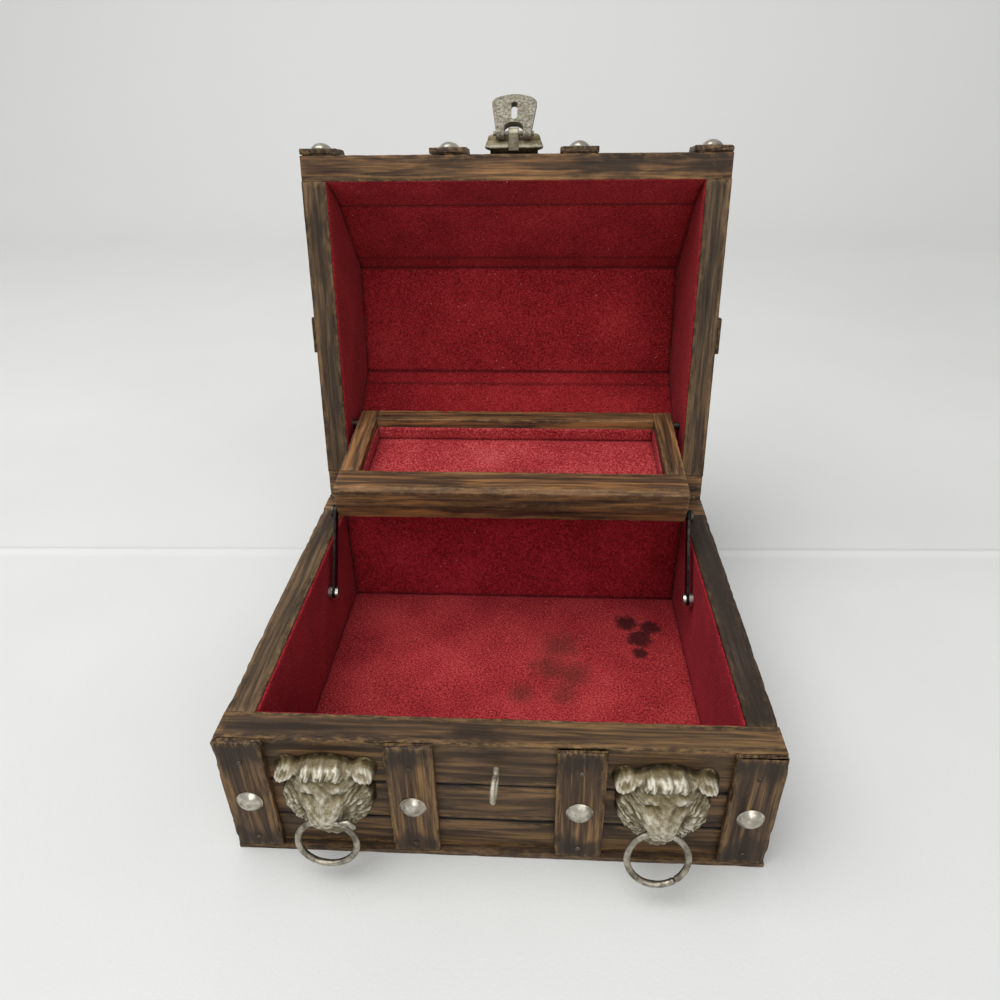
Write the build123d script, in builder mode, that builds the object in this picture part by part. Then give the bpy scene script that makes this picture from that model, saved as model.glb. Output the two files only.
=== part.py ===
"""An arched-lid trinket box of stained softwood, with a tray that swings up as the lid opens.

X runs along the box, Y from front to back and Z up. The origin is the centre of the
underside. The box is modelled as it stands open: the lid leans back against its stop,
the tray is raised on its two arms and the hasp lies back. Sizes are millimetres and degrees.
"""

import math
import os

from build123d import *

# Base box
box_width = 180.0
base_depth = 150.5
rim_height = 52.2
front_board_thickness = 11.0
rear_board_thickness = 11.0
side_board_thickness = 10.2
bottom_thickness = 1.8
plank_width = 17.3
plank_groove_width = 0.8
plank_groove_depth = 0.7
first_plank_drop = 1.7
felt_thickness = 0.8
rim_ease = 0.5

# Lid, seen from its end as half an arch, with shares of the base's depth
lid_rim_gap = 0.4
lid_rail_thickness = 10.2
lid_end_thickness = 10.2
shoulder_inset_share = 0.0611
shoulder_height = 18.0
crown_half_share = 0.1761
crown_inner_height = 51.8
crown_ease_share = 0.0352
crown_ease_drop = 6.8
slope_thickness = 10.5
top_thickness = 8.2
open_angle = 99.2

# Straps and their nails, with shares of the box's width and of the rim's height
strap_width = 16.0
strap_thickness = 2.7
inner_strap_share = 0.1517
end_strap_rim_drop = 4.0
dome_radius = 4.5
dome_height = 2.5
dome_nail_share = 0.475
dome_shank_radius = 0.9
dome_shank_length = 9.0
pin_head_radius = 0.95
pin_head_height = 0.35
pin_shank_radius = 0.6
pin_shank_length = 8.0
pin_nail_end_margin = 6.3
pin_nail_foot_margin = 4.7
pin_nail_rim_drop = 8.7
nail_clearance = 0.05

# Butt hinges, placed by a share of the box's width
hinge_share = 0.3033
hinge_length = 24.0
knuckle_radius = 1.8
knuckle_clearance = 0.3
hinge_axis_drop = 0.8
leaf_thickness = 1.0
leaf_height = 11.0
hinge_pin_radius = 0.9
running_clearance = 0.05
leaf_screw_spacing = 15.0
leaf_screw_reach = 6.6
leaf_screw_head_radius = 1.7
leaf_screw_head_height = 0.8
leaf_screw_shank_radius = 0.8
leaf_screw_length = 8.0
hinge_pin_overhang = 0.4

# Tray and the two arms that carry its front
tray_side_gap = 3.4
tray_front_rail_depth = 14.4
tray_front_rail_height = 16.7
tray_rail_thickness = 8.6
tray_rail_height = 12.6
tray_floor_thickness = 1.2
tray_felt_thickness = 0.5
tray_lining_drop = 4.5
tray_nose_radius = 3.0
tray_underside_radius = 4.5
tray_rear_pivot_margin = 7.2
rear_pivot_drop = 3.23
front_pivot_inset = 3.2
front_pivot_drop = 14.4
arm_pivot_share = 0.1551
arm_pivot_rim_drop = 18.2
arm_length = 36.0
arm_lean = 30.4
arm_thickness = 1.0
arm_width = 5.0
arm_tray_gap = 0.6
pivot_radius = 1.0
open_pivot_clearance = 0.3
pivot_head_radius = 2.8
pivot_head_height = 1.1
pivot_screw_bite = 7.0
pivot_end_gap = 0.5
pivot_head_gap = 0.2
washer_radius = 3.1
washer_gap = 0.1
pivot_pin_radius = 0.8
rear_pin_bite = 7.1
rear_collar_radius = 1.7
rear_collar_gap = 0.4

# Lion masks and their ring pulls, with drops from the rim and a share of the box's width
mask_share = 0.3011
mask_drift = -0.6
mask_centre_drop = 22.4
mask_disc_radius = 15.0
mask_disc_thickness = 2.6
mask_ease = 1.0
mane_size = 27.0
mane_lift = 0.6
mane_corner_radius = 9.0
mane_rise = 7.0
mane_top_width = 18.4
mane_top_height = 20.0
mane_top_lift = 1.6
mane_top_corner_radius = 7.0
brow_width = 13.5
brow_height = 15.6
brow_lift = 2.6
brow_depth = 5.5
brow_corner_radius = 4.0
muzzle_width = 8.1
muzzle_height = 8.0
muzzle_lift = 2.4
muzzle_corner_radius = 3.0
muzzle_reach = 14.8
ear_radius = 4.3
ear_spread_share = 0.31
ear_rim_drop = 9.8
ear_reach = 7.0
forelock_width = 17.0
forelock_height = 7.0
forelock_lift = 0.6
forelock_corner_radius = 3.0
forelock_reach = 8.0
mouth_rim_drop = 24.6
mouth_reach = 11.0
mouth_margin = 0.45
ring_radius = 9.65
ring_wire_radius = 1.1
ring_gap_angle = 6.0
ring_clearance = 0.3
left_ring_swing = 5.0
left_ring_drift = 0.4
left_ring_gap_turn = 62.0
right_ring_swing = 15.0
right_ring_drift = -2.0
right_ring_gap_turn = -55.0

# Screw eye and hasp, both on the centre line
eye_rim_drop = 10.8
eye_reach = 12.4
eye_loop_radius = 3.6
eye_wire_radius = 0.8
eye_screw_depth = 8.0
eye_gap_angle = 28.0
hasp_plate_width = 24.4
hasp_plate_thickness = 2.0
hasp_plate_margin = 0.4
hasp_plate_corner_radius = 3.0
hasp_boss_root_width = 22.0
hasp_boss_width = 18.0
hasp_boss_lift = 1.0
hasp_boss_height = 6.0
hasp_boss_tip_height = 3.6
hasp_boss_reach = 5.4
hasp_lug_width = 4.2
hasp_lug_height = 4.0
hasp_lug_foot = 1.3
hasp_pin_reach = 7.5
hasp_pin_radius = 0.9
hasp_pin_overhang = 1.2
hasp_eye_radius = 2.2
tongue_length = 20.0
tongue_thickness = 2.6
tongue_root_width = 14.3
tongue_tip_width = 18.7
tongue_tip_rise = 2.0
tongue_corner_length = 2.0
tongue_corner_inset = 1.5
tongue_notch_width = 8.0
tongue_notch_length = 4.9
tongue_notch_corner_radius = 3.4
slot_clearance = 0.5
hasp_open_angle = 132.0

# Places worked out from the sizes above
half_width = box_width / 2
half_depth = base_depth / 2
inner_half_width = half_width - side_board_thickness
lid_inner_half_width = half_width - lid_end_thickness
front_inner_y = front_board_thickness - half_depth
rear_inner_y = half_depth - rear_board_thickness
lid_rim_z = rim_height + lid_rim_gap
base_middle_z = (bottom_thickness + rim_height) / 2
base_wall_height = rim_height - bottom_thickness
lining_x = inner_half_width - felt_thickness
corner_strap_offset = half_width - strap_width / 2
inner_strap_offset = box_width * inner_strap_share
strap_places = (-corner_strap_offset, -inner_strap_offset, inner_strap_offset, corner_strap_offset)
dome_nail_height = rim_height * dome_nail_share
mask_offset = box_width * mask_share
mask_centre_height = rim_height - mask_centre_drop
mask_bay = corner_strap_offset - inner_strap_offset - strap_width
ear_spread = mask_bay * ear_spread_share
ear_height = rim_height - ear_rim_drop
mouth_height = rim_height - mouth_rim_drop
eye_height = rim_height - eye_rim_drop
hinge_offset = box_width * hinge_share
hinge_y = half_depth + knuckle_radius + knuckle_clearance
hinge_z = rim_height - hinge_axis_drop


def meet(point, direction, y=None, z=None):
    """Point where a line from point along direction reaches the given y or z."""
    step = (y - point[0]) / direction[0] if z is None else (z - point[1]) / direction[1]
    return (point[0] + step * direction[0], point[1] + step * direction[1])


def offset_run(points, distance):
    """Moves a run of points sideways to the left of its direction, with mitred corners."""
    headings = []
    for start, end in zip(points, points[1:]):
        length = math.dist(start, end)
        headings.append(((end[0] - start[0]) / length, (end[1] - start[1]) / length))
    moved = []
    for index, (y, z) in enumerate(points):
        before = headings[max(index - 1, 0)]
        after = headings[min(index, len(headings) - 1)]
        spread = 1 + before[0] * after[0] + before[1] * after[1]
        side = (-(before[1] + after[1]) / spread, (before[0] + after[0]) / spread)
        moved.append((y + distance * side[0], z + distance * side[1]))
    return moved


def mirrored(points):
    """The same points on the other side of the middle, in reverse order."""
    return [(-y, z) for y, z in reversed(points)]


# The arch of the lid, from its front rim to the middle of its crown, inside and outside
crown_outer_z = lid_rim_z + crown_inner_height + top_thickness
inner_rim = (lid_rail_thickness - half_depth, lid_rim_z)
inner_shoulder = (inner_rim[0] + base_depth * shoulder_inset_share, lid_rim_z + shoulder_height)
inner_crown = (-base_depth * crown_half_share, lid_rim_z + crown_inner_height)
inner_ease = (inner_crown[0] - base_depth * crown_ease_share, inner_crown[1] - crown_ease_drop)
slope_run = math.dist(inner_shoulder, inner_ease)
slope_way = (
    (inner_ease[0] - inner_shoulder[0]) / slope_run,
    (inner_ease[1] - inner_shoulder[1]) / slope_run,
)
slope_skin = (
    inner_shoulder[0] - slope_thickness * slope_way[1],
    inner_shoulder[1] + slope_thickness * slope_way[0],
)
outer_rim = (-half_depth, lid_rim_z)
outer_shoulder = meet(slope_skin, slope_way, y=-half_depth)
outer_crown = meet(slope_skin, slope_way, z=crown_outer_z)
inner_half = [inner_rim, inner_shoulder, inner_ease, inner_crown]
outer_half = [outer_rim, outer_shoulder, outer_crown]
inner_arch = inner_half + mirrored(inner_half)
outer_arch = outer_half + mirrored(outer_half)
lining_arch = offset_run(inner_arch, -felt_thickness)
strap_arch = offset_run(outer_arch, strap_thickness)
rail_face_height = outer_shoulder[1] - lid_rim_z

# The lid turns about its hinge axis, from shut to the pose that is modelled
lid_turn = (
    Location((0, hinge_y, hinge_z))
    * Location((0, 0, 0), (-open_angle, 0, 0))
    * Location((0, -hinge_y, -hinge_z))
)


def opened(plane):
    """Carries a plane of the shut lid to where it is with the lid open."""
    return Plane(lid_turn * plane.location)


# Four pivots make a parallelogram, so the tray keeps its tilt while the lid turns
arm_pivot_y = base_depth * arm_pivot_share
arm_pivot_height = rim_height - arm_pivot_rim_drop
arm_run = arm_length * math.sin(math.radians(arm_lean))
arm_rise = arm_length * math.cos(math.radians(arm_lean))
front_pivot = (arm_pivot_y + arm_run, arm_pivot_height + arm_rise)
rear_pivot = (hinge_y + arm_run, hinge_z + arm_rise)
pivot_climb = math.atan2(hinge_z - arm_pivot_height, hinge_y - arm_pivot_y)
pivot_distance = math.dist(front_pivot, rear_pivot)
tray_tilt = pivot_climb - math.asin((front_pivot_drop - rear_pivot_drop) / pivot_distance)
tilt_cos = math.cos(tray_tilt)
tilt_sin = math.sin(tray_tilt)
tray_corner = (
    front_pivot[0] - front_pivot_inset * tilt_cos - front_pivot_drop * tilt_sin,
    front_pivot[1] - front_pivot_inset * tilt_sin + front_pivot_drop * tilt_cos,
)
rear_pivot_inset = (
    (rear_pivot[0] - tray_corner[0]) * tilt_cos + (rear_pivot[1] - tray_corner[1]) * tilt_sin
)
tray_depth = rear_pivot_inset + tray_rear_pivot_margin
tray_origin = (0, tray_corner[0], tray_corner[1])
tray_back = (0, tilt_cos, tilt_sin)
tray_up = (0, -tilt_sin, tilt_cos)
tray_top = Plane(origin=tray_origin, x_dir=(1, 0, 0), z_dir=tray_up)
tray_side = Plane(origin=tray_origin, x_dir=tray_back, z_dir=(1, 0, 0))
tray_half_width = lining_x - tray_side_gap
arm_inner_x = tray_half_width + arm_tray_gap
arm_outer_x = arm_inner_x + arm_thickness

# Outer faces, each with its plane's y axis up
front_face = Plane(origin=(0, -half_depth, 0), x_dir=(1, 0, 0), z_dir=(0, -1, 0))
rear_face = Plane(origin=(0, half_depth, 0), x_dir=(-1, 0, 0), z_dir=(0, 1, 0))
left_face = Plane(origin=(-half_width, 0, 0), x_dir=(0, -1, 0), z_dir=(-1, 0, 0))
right_face = Plane(origin=(half_width, 0, 0), x_dir=(0, 1, 0), z_dir=(1, 0, 0))
crown_face = Plane(origin=(0, 0, crown_outer_z), x_dir=(1, 0, 0), z_dir=(0, 0, 1))

# Nail places, as (face, across, up)
pin_low = bottom_thickness + pin_nail_foot_margin
pin_high = rim_height - pin_nail_rim_drop
front_nails = [(front_face, x, dome_nail_height) for x in strap_places]
rear_nails = [(rear_face, x, dome_nail_height) for x in strap_places]
front_pins = [(front_face, x, z) for x in strap_places for z in (pin_low, pin_high)]
rear_pins = [(rear_face, x, z) for x in strap_places for z in (pin_low, pin_high)]
rail_nail_z = lid_rim_z + rail_face_height / 2
lid_front_nails = [(front_face, x, rail_nail_z) for x in strap_places]
lid_rear_nails = [(rear_face, x, rail_nail_z) for x in strap_places]
lid_crown_nails = [(crown_face, x, 0) for x in strap_places]
crown_pin_y = abs(outer_crown[0]) - pin_nail_end_margin
lid_crown_pins = [(crown_face, x, y) for x in strap_places for y in (-crown_pin_y, crown_pin_y)]
end_strap_low = lid_rim_z + end_strap_rim_drop
end_strap_high = lid_rim_z + crown_inner_height - pin_nail_end_margin
end_nail_z = (end_strap_low + end_strap_high) / 2
lid_left_nails = [(left_face, 0, end_nail_z)]
lid_right_nails = [(right_face, 0, end_nail_z)]
lid_left_pins = [(left_face, 0, z) for z in (end_strap_low + pin_nail_end_margin, end_strap_high)]
lid_right_pins = [(right_face, 0, z) for z in (end_strap_low + pin_nail_end_margin, end_strap_high)]


def spots(places):
    """The (across, up) pairs of a list of nail places."""
    return [(across, up) for _, across, up in places]


def nail_holes(plane, places, radius, depth):
    """Cuts blind holes for nails, straight into the face that plane lies on."""
    with BuildSketch(plane) as holes:
        with Locations(*spots(places)):
            Circle(radius + nail_clearance)
    extrude(holes.sketch, amount=-depth, mode=Mode.SUBTRACT)


pieces = []


def keep(part, name):
    """Labels a finished piece and puts it on the list to be written."""
    part.part.label = name
    pieces.append(part)


dome_bite = dome_shank_length - strap_thickness
pin_bite = pin_shank_length - strap_thickness

# Base boards
with BuildPart() as base_front_board:
    with BuildSketch(front_face):
        with Locations((0, base_middle_z)):
            Rectangle(box_width, base_wall_height)
    extrude(amount=-front_board_thickness)
    rim_edges = base_front_board.edges().filter_by(Axis.X).group_by(Axis.Z)[-1]
    chamfer(rim_edges, rim_ease)
    with BuildSketch(front_face):
        for plank in (1, 2):
            with Locations((0, rim_height - first_plank_drop - plank * plank_width)):
                Rectangle(box_width, plank_groove_width)
    extrude(amount=-plank_groove_depth, mode=Mode.SUBTRACT)
    nail_holes(front_face, front_nails, dome_shank_radius, dome_bite)
    nail_holes(front_face, front_pins, pin_shank_radius, pin_bite)
    with BuildSketch(front_face):
        with Locations((0, eye_height)):
            Circle(eye_wire_radius + nail_clearance)
    extrude(amount=-eye_screw_depth, mode=Mode.SUBTRACT)
keep(base_front_board, "base_front_board")

with BuildPart() as base_rear_board:
    with BuildSketch(rear_face):
        with Locations((0, base_middle_z)):
            Rectangle(box_width, base_wall_height)
    extrude(amount=-rear_board_thickness)
    chamfer(base_rear_board.edges().filter_by(Axis.X).group_by(Axis.Z)[-1], rim_ease)
    nail_holes(rear_face, rear_nails, dome_shank_radius, dome_bite)
    nail_holes(rear_face, rear_pins, pin_shank_radius, pin_bite)
    with BuildSketch(rear_face):
        for side in (-1, 1):
            for step in (-1, 1):
                across = side * hinge_offset + step * leaf_screw_spacing / 2
                with Locations((across, hinge_z - leaf_screw_reach)):
                    Circle(leaf_screw_shank_radius + nail_clearance)
    extrude(amount=-leaf_screw_length, mode=Mode.SUBTRACT)
keep(base_rear_board, "base_rear_board")

for side, face in ((-1, left_face), (1, right_face)):
    with BuildPart() as side_board:
        with BuildSketch(face):
            with Locations((side * (front_inner_y + rear_inner_y) / 2, base_middle_z)):
                Rectangle(rear_inner_y - front_inner_y, base_wall_height)
        extrude(amount=-side_board_thickness)
        chamfer(side_board.edges().filter_by(Axis.Y).group_by(Axis.Z)[-1], rim_ease)
        with BuildSketch(face.offset(-side_board_thickness)):
            with Locations((side * arm_pivot_y, arm_pivot_height)):
                Circle(pivot_radius + nail_clearance)
        extrude(amount=pivot_screw_bite, mode=Mode.SUBTRACT)
    keep(side_board, "base_left_board" if side < 0 else "base_right_board")

with BuildPart() as base_bottom:
    with BuildSketch(Plane.XY):
        Rectangle(box_width, base_depth + 2 * strap_thickness)
    extrude(amount=bottom_thickness)
keep(base_bottom, "base_bottom")

# Base straps, one upright strip at each place
for number, x in enumerate(strap_places, 1):
    with BuildPart() as front_strap:
        with BuildSketch(front_face):
            with Locations((x, base_middle_z)):
                Rectangle(strap_width, base_wall_height)
        extrude(amount=strap_thickness)
        chamfer(front_strap.faces().sort_by(Axis.Y)[0].edges(), rim_ease)
        seat = front_face.offset(strap_thickness)
        nail_holes(seat, [(None, x, dome_nail_height)], dome_shank_radius, strap_thickness)
        nail_holes(seat, [(None, x, pin_low), (None, x, pin_high)], pin_shank_radius, strap_thickness)
    keep(front_strap, f"base_front_strap_{number}")

with BuildPart() as base_rear_straps:
    for x in strap_places:
        with BuildSketch(rear_face):
            with Locations((x, base_middle_z)):
                Rectangle(strap_width, base_wall_height)
        extrude(amount=strap_thickness)
    nail_holes(rear_face.offset(strap_thickness), rear_nails, dome_shank_radius, strap_thickness)
    nail_holes(rear_face.offset(strap_thickness), rear_pins, pin_shank_radius, strap_thickness)
keep(base_rear_straps, "base_rear_straps")


def dome_nails(places, place_plane=lambda plane: plane):
    """Domed nails standing on the straps, each with its head outside and its shank in the wood."""
    sphere_radius = (dome_radius**2 + dome_height**2) / (2 * dome_height)
    for face, across, up in places:
        seat = face.offset(strap_thickness)
        centre = seat.from_local_coords((across, up, 0))
        upright = Plane(origin=centre, x_dir=seat.x_dir, z_dir=seat.y_dir)
        with BuildSketch(place_plane(upright)) as half_nail:
            with BuildLine():
                Line((0, -dome_height), (0, dome_shank_length))
                Line((0, dome_shank_length), (dome_shank_radius, dome_shank_length - dome_shank_radius))
                Line((dome_shank_radius, dome_shank_length - dome_shank_radius), (dome_shank_radius, 0))
                Line((dome_shank_radius, 0), (dome_radius, 0))
                RadiusArc((dome_radius, 0), (0, -dome_height), sphere_radius)
            make_face()
        spin = place_plane(Plane(origin=centre, x_dir=seat.x_dir, z_dir=seat.z_dir))
        revolve(half_nail.sketch, axis=Axis(spin.origin, spin.z_dir))


def pin_nails(places, place_plane=lambda plane: plane):
    """Small flat-headed pins through the straps."""
    for face, across, up in places:
        seat = place_plane(face.offset(strap_thickness))
        with BuildSketch(seat) as head:
            with Locations((across, up)):
                Circle(pin_head_radius)
        extrude(head.sketch, amount=pin_head_height)
        with BuildSketch(seat) as shank:
            with Locations((across, up)):
                Circle(pin_shank_radius)
        extrude(shank.sketch, amount=-pin_shank_length)


with BuildPart() as base_dome_nails:
    dome_nails(front_nails + rear_nails)
keep(base_dome_nails, "base_dome_nails")

with BuildPart() as base_pin_nails:
    pin_nails(front_pins + rear_pins)
keep(base_pin_nails, "base_pin_nails")

# Felt glued inside the base
with BuildPart() as base_floor_lining:
    with BuildSketch(Plane.XY.offset(bottom_thickness)):
        with Locations((0, (front_inner_y + rear_inner_y) / 2)):
            Rectangle(2 * inner_half_width, rear_inner_y - front_inner_y)
    extrude(amount=felt_thickness)
keep(base_floor_lining, "base_floor_lining")

wall_lining_low = bottom_thickness + felt_thickness
wall_lining_high = rim_height - rim_ease
with BuildPart() as base_wall_linings:
    for y in (front_inner_y + felt_thickness / 2, rear_inner_y - felt_thickness / 2):
        with BuildSketch(Plane.XY.offset(wall_lining_low)):
            with Locations((0, y)):
                Rectangle(2 * lining_x, felt_thickness)
        extrude(amount=wall_lining_high - wall_lining_low)
    for side in (-1, 1):
        with BuildSketch(Plane.XY.offset(wall_lining_low)):
            with Locations((side * (lining_x + felt_thickness / 2), (front_inner_y + rear_inner_y) / 2)):
                Rectangle(felt_thickness, rear_inner_y - front_inner_y)
        extrude(amount=wall_lining_high - wall_lining_low)
        with BuildSketch(Plane.YZ.offset(side * lining_x)):
            with Locations((arm_pivot_y, arm_pivot_height)):
                Circle(pivot_radius + nail_clearance)
        extrude(amount=side * felt_thickness, mode=Mode.SUBTRACT)
keep(base_wall_linings, "base_wall_linings")

# Lion masks, castings fixed to the front board, with an open mouth for the ring
mouth_half_width = brow_width / 2 + mouth_margin - right_ring_drift
mouth_flare = ring_radius - math.sqrt(ring_radius**2 - mouth_half_width**2)
mouth_throat = ring_wire_radius + ring_clearance
left_ring_x = -mask_offset + mask_drift + left_ring_drift
right_ring_x = mask_offset + mask_drift + right_ring_drift

for side, ring_x in ((-1, left_ring_x), (1, right_ring_x)):
    mask_x = side * mask_offset + mask_drift
    mouth = (ring_x, -half_depth - mouth_reach, mouth_height)
    with BuildPart() as lion_mask:
        with BuildSketch(front_face):
            with Locations((mask_x, mask_centre_height)):
                Circle(mask_disc_radius)
        extrude(amount=mask_disc_thickness)
        with BuildSketch(front_face.offset(mask_disc_thickness)):
            with Locations((mask_x, mask_centre_height + mane_lift)):
                RectangleRounded(mane_size, mane_size, mane_corner_radius)
        with BuildSketch(front_face.offset(mane_rise)):
            with Locations((mask_x, mask_centre_height + mane_top_lift)):
                RectangleRounded(mane_top_width, mane_top_height, mane_top_corner_radius)
        loft()
        with BuildSketch(front_face.offset(brow_depth)):
            with Locations((mask_x, mouth_height + brow_lift)):
                RectangleRounded(brow_width, brow_height, brow_corner_radius)
        with BuildSketch(front_face.offset(muzzle_reach)):
            with Locations((mask_x, mouth_height + muzzle_lift)):
                RectangleRounded(muzzle_width, muzzle_height, muzzle_corner_radius)
        loft()
        with BuildSketch(front_face):
            with Locations((mask_x, ear_height + forelock_lift)):
                RectangleRounded(forelock_width, forelock_height, forelock_corner_radius)
        extrude(amount=forelock_reach)
        with BuildSketch(front_face):
            with Locations((mask_x - ear_spread, ear_height), (mask_x + ear_spread, ear_height)):
                Circle(ear_radius)
        extrude(amount=ear_reach)
        chamfer(lion_mask.faces().sort_by(Axis.Y)[0].edges(), mask_ease)
        with BuildSketch(Plane(mouth, (1, 0, 0), (0, 1, 0))):
            with BuildLine():
                Line((-mouth_half_width, 0), (mouth_half_width, 0))
                Line((mouth_half_width, 0), (mouth_half_width, mouth_throat + mouth_flare))
                ThreePointArc(
                    (mouth_half_width, mouth_throat + mouth_flare),
                    (0, mouth_throat),
                    (-mouth_half_width, mouth_throat + mouth_flare),
                )
                Line((-mouth_half_width, mouth_throat + mouth_flare), (-mouth_half_width, 0))
            make_face()
        revolve(axis=Axis(mouth, (1, 0, 0)), mode=Mode.SUBTRACT)
    keep(lion_mask, "lion_mask_left" if side < 0 else "lion_mask_right")

# Ring pulls, bent from wire with a small gap, hanging from the mouths
for ring_x, swing, gap_turn, name in (
    (left_ring_x, left_ring_swing, left_ring_gap_turn, "ring_pull_left"),
    (right_ring_x, right_ring_swing, right_ring_gap_turn, "ring_pull_right"),
):
    hang = Vector(0, -math.sin(math.radians(swing)), -math.cos(math.radians(swing)))
    ring_normal = Vector(0, hang.Z, -hang.Y)
    ring_centre = Vector(ring_x, -half_depth - mouth_reach, mouth_height) + hang * ring_radius
    start = Vector(math.cos(math.radians(gap_turn)), 0, 0) - hang * math.sin(math.radians(gap_turn))
    wire_end = Plane(origin=ring_centre + start * ring_radius, x_dir=start, z_dir=ring_normal.cross(start))
    with BuildPart() as ring_pull:
        with BuildSketch(wire_end):
            Circle(ring_wire_radius)
        revolve(axis=Axis(ring_centre, ring_normal), revolution_arc=360 - ring_gap_angle)
    keep(ring_pull, name)

# Screw eye, whose loop stands upright
eye_centre_y = -half_depth - eye_reach + eye_loop_radius + eye_wire_radius
with BuildPart() as screw_eye:
    with BuildSketch(front_face.offset(-eye_screw_depth)):
        with Locations((0, eye_height)):
            Circle(eye_wire_radius)
    extrude(amount=eye_screw_depth + eye_reach - 2 * eye_loop_radius - eye_wire_radius)
    with BuildSketch(Plane(origin=(0, eye_centre_y + eye_loop_radius, eye_height), z_dir=(0, 0, 1))):
        Circle(eye_wire_radius)
    revolve(axis=Axis((0, eye_centre_y, eye_height), (-1, 0, 0)), revolution_arc=360 - eye_gap_angle)
keep(screw_eye, "screw_eye")

# Lid rails, slopes and top panel, all the full width of the box
rail_profile = [inner_rim, outer_rim, outer_shoulder, inner_shoulder]
slope_profile = [inner_shoulder, outer_shoulder, outer_crown, inner_crown, inner_ease]
top_profile = [inner_crown, outer_crown, (-outer_crown[0], outer_crown[1]), (-inner_crown[0], inner_crown[1])]


def arch_piece(profile, half_length):
    """Carries an outline of the lid's cross-section along the box."""
    with BuildSketch(opened(Plane.YZ)) as outline:
        Polygon(*profile, align=None)
    extrude(outline.sketch, amount=half_length, both=True)


for name, profile, face, nails in (
    ("lid_front_rail", rail_profile, front_face, lid_front_nails),
    ("lid_rear_rail", mirrored(rail_profile), rear_face, lid_rear_nails),
):
    with BuildPart() as lid_rail:
        arch_piece(profile, half_width)
        nail_holes(opened(face), nails, dome_shank_radius, dome_bite)
        if face is rear_face:
            with BuildSketch(opened(face)):
                for side in (-1, 1):
                    for step in (-1, 1):
                        across = side * hinge_offset + step * leaf_screw_spacing / 2
                        with Locations((across, hinge_z + leaf_screw_reach)):
                            Circle(leaf_screw_shank_radius + nail_clearance)
            extrude(amount=-leaf_screw_length, mode=Mode.SUBTRACT)
    keep(lid_rail, name)

for name, profile in (("lid_front_slope", slope_profile), ("lid_rear_slope", mirrored(slope_profile))):
    with BuildPart() as lid_slope:
        arch_piece(profile, half_width)
    keep(lid_slope, name)

with BuildPart() as lid_top_panel:
    arch_piece(top_profile, half_width)
    nail_holes(opened(crown_face), lid_crown_nails, dome_shank_radius, dome_bite)
    nail_holes(opened(crown_face), lid_crown_pins, pin_shank_radius, pin_bite)
keep(lid_top_panel, "lid_top_panel")

# Pivot pins of the tray go into the lid's ends
shut_pivot = Plane(lid_turn.inverse() * Plane(origin=(0, *rear_pivot), z_dir=(1, 0, 0)).location)
lid_pivot_y = shut_pivot.origin.Y
lid_pivot_z = shut_pivot.origin.Z

for side, face, nails, pins in (
    (-1, left_face, lid_left_nails, lid_left_pins),
    (1, right_face, lid_right_nails, lid_right_pins),
):
    with BuildPart() as lid_end:
        with BuildSketch(opened(Plane.YZ.offset(side * lid_inner_half_width))):
            Polygon(*inner_arch, align=None)
        extrude(amount=side * lid_end_thickness)
        nail_holes(opened(face), nails, dome_shank_radius, dome_bite)
        nail_holes(opened(face), pins, pin_shank_radius, pin_bite)
        with BuildSketch(opened(Plane.YZ.offset(side * lid_inner_half_width))):
            with Locations((lid_pivot_y, lid_pivot_z)):
                Circle(pivot_pin_radius + nail_clearance)
        extrude(amount=side * pivot_screw_bite, mode=Mode.SUBTRACT)
    keep(lid_end, "lid_left_end" if side < 0 else "lid_right_end")

# Straps bent over the lid from rim to rim
strap_profile = outer_arch + list(reversed(strap_arch))
for number, x in enumerate(strap_places, 1):
    with BuildPart() as lid_strap:
        with BuildSketch(opened(Plane.YZ.offset(x - strap_width / 2))):
            Polygon(*strap_profile, align=None)
        extrude(amount=strap_width)
        for face, across in ((front_face, x), (rear_face, -x)):
            seat = opened(face.offset(strap_thickness))
            nail_holes(seat, [(None, across, rail_nail_z)], dome_shank_radius, strap_thickness)
        crown_seat = opened(crown_face.offset(strap_thickness))
        nail_holes(crown_seat, [(None, x, 0)], dome_shank_radius, strap_thickness)
        crown_pins = [(None, x, -crown_pin_y), (None, x, crown_pin_y)]
        nail_holes(crown_seat, crown_pins, pin_shank_radius, strap_thickness)
    keep(lid_strap, f"lid_strap_{number}")

with BuildPart() as lid_end_straps:
    for face, nails, pins in (
        (left_face, lid_left_nails, lid_left_pins),
        (right_face, lid_right_nails, lid_right_pins),
    ):
        with BuildSketch(opened(face)):
            with Locations((0, (end_strap_low + crown_outer_z) / 2)):
                Rectangle(strap_width, crown_outer_z - end_strap_low)
        extrude(amount=strap_thickness)
        nail_holes(opened(face.offset(strap_thickness)), nails, dome_shank_radius, strap_thickness)
        nail_holes(opened(face.offset(strap_thickness)), pins, pin_shank_radius, strap_thickness)
keep(lid_end_straps, "lid_end_straps")

with BuildPart() as lid_dome_nails:
    dome_nails(lid_front_nails + lid_rear_nails + lid_crown_nails + lid_left_nails + lid_right_nails, opened)
keep(lid_dome_nails, "lid_dome_nails")

with BuildPart() as lid_pin_nails:
    pin_nails(lid_crown_pins + lid_left_pins + lid_right_pins, opened)
keep(lid_pin_nails, "lid_pin_nails")

# Felt glued inside the lid
lid_lining_half = lid_inner_half_width - felt_thickness


def lining_strip(first, last):
    """A strip of felt under the arch, from one of its corners to another."""
    arch_piece(inner_arch[first : last + 1] + list(reversed(lining_arch[first : last + 1])), lid_lining_half)


with BuildPart() as lid_rail_linings:
    lining_strip(0, 1)
    lining_strip(6, 7)
keep(lid_rail_linings, "lid_rail_linings")

with BuildPart() as lid_slope_linings:
    lining_strip(1, 3)
    lining_strip(4, 6)
keep(lid_slope_linings, "lid_slope_linings")

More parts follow.
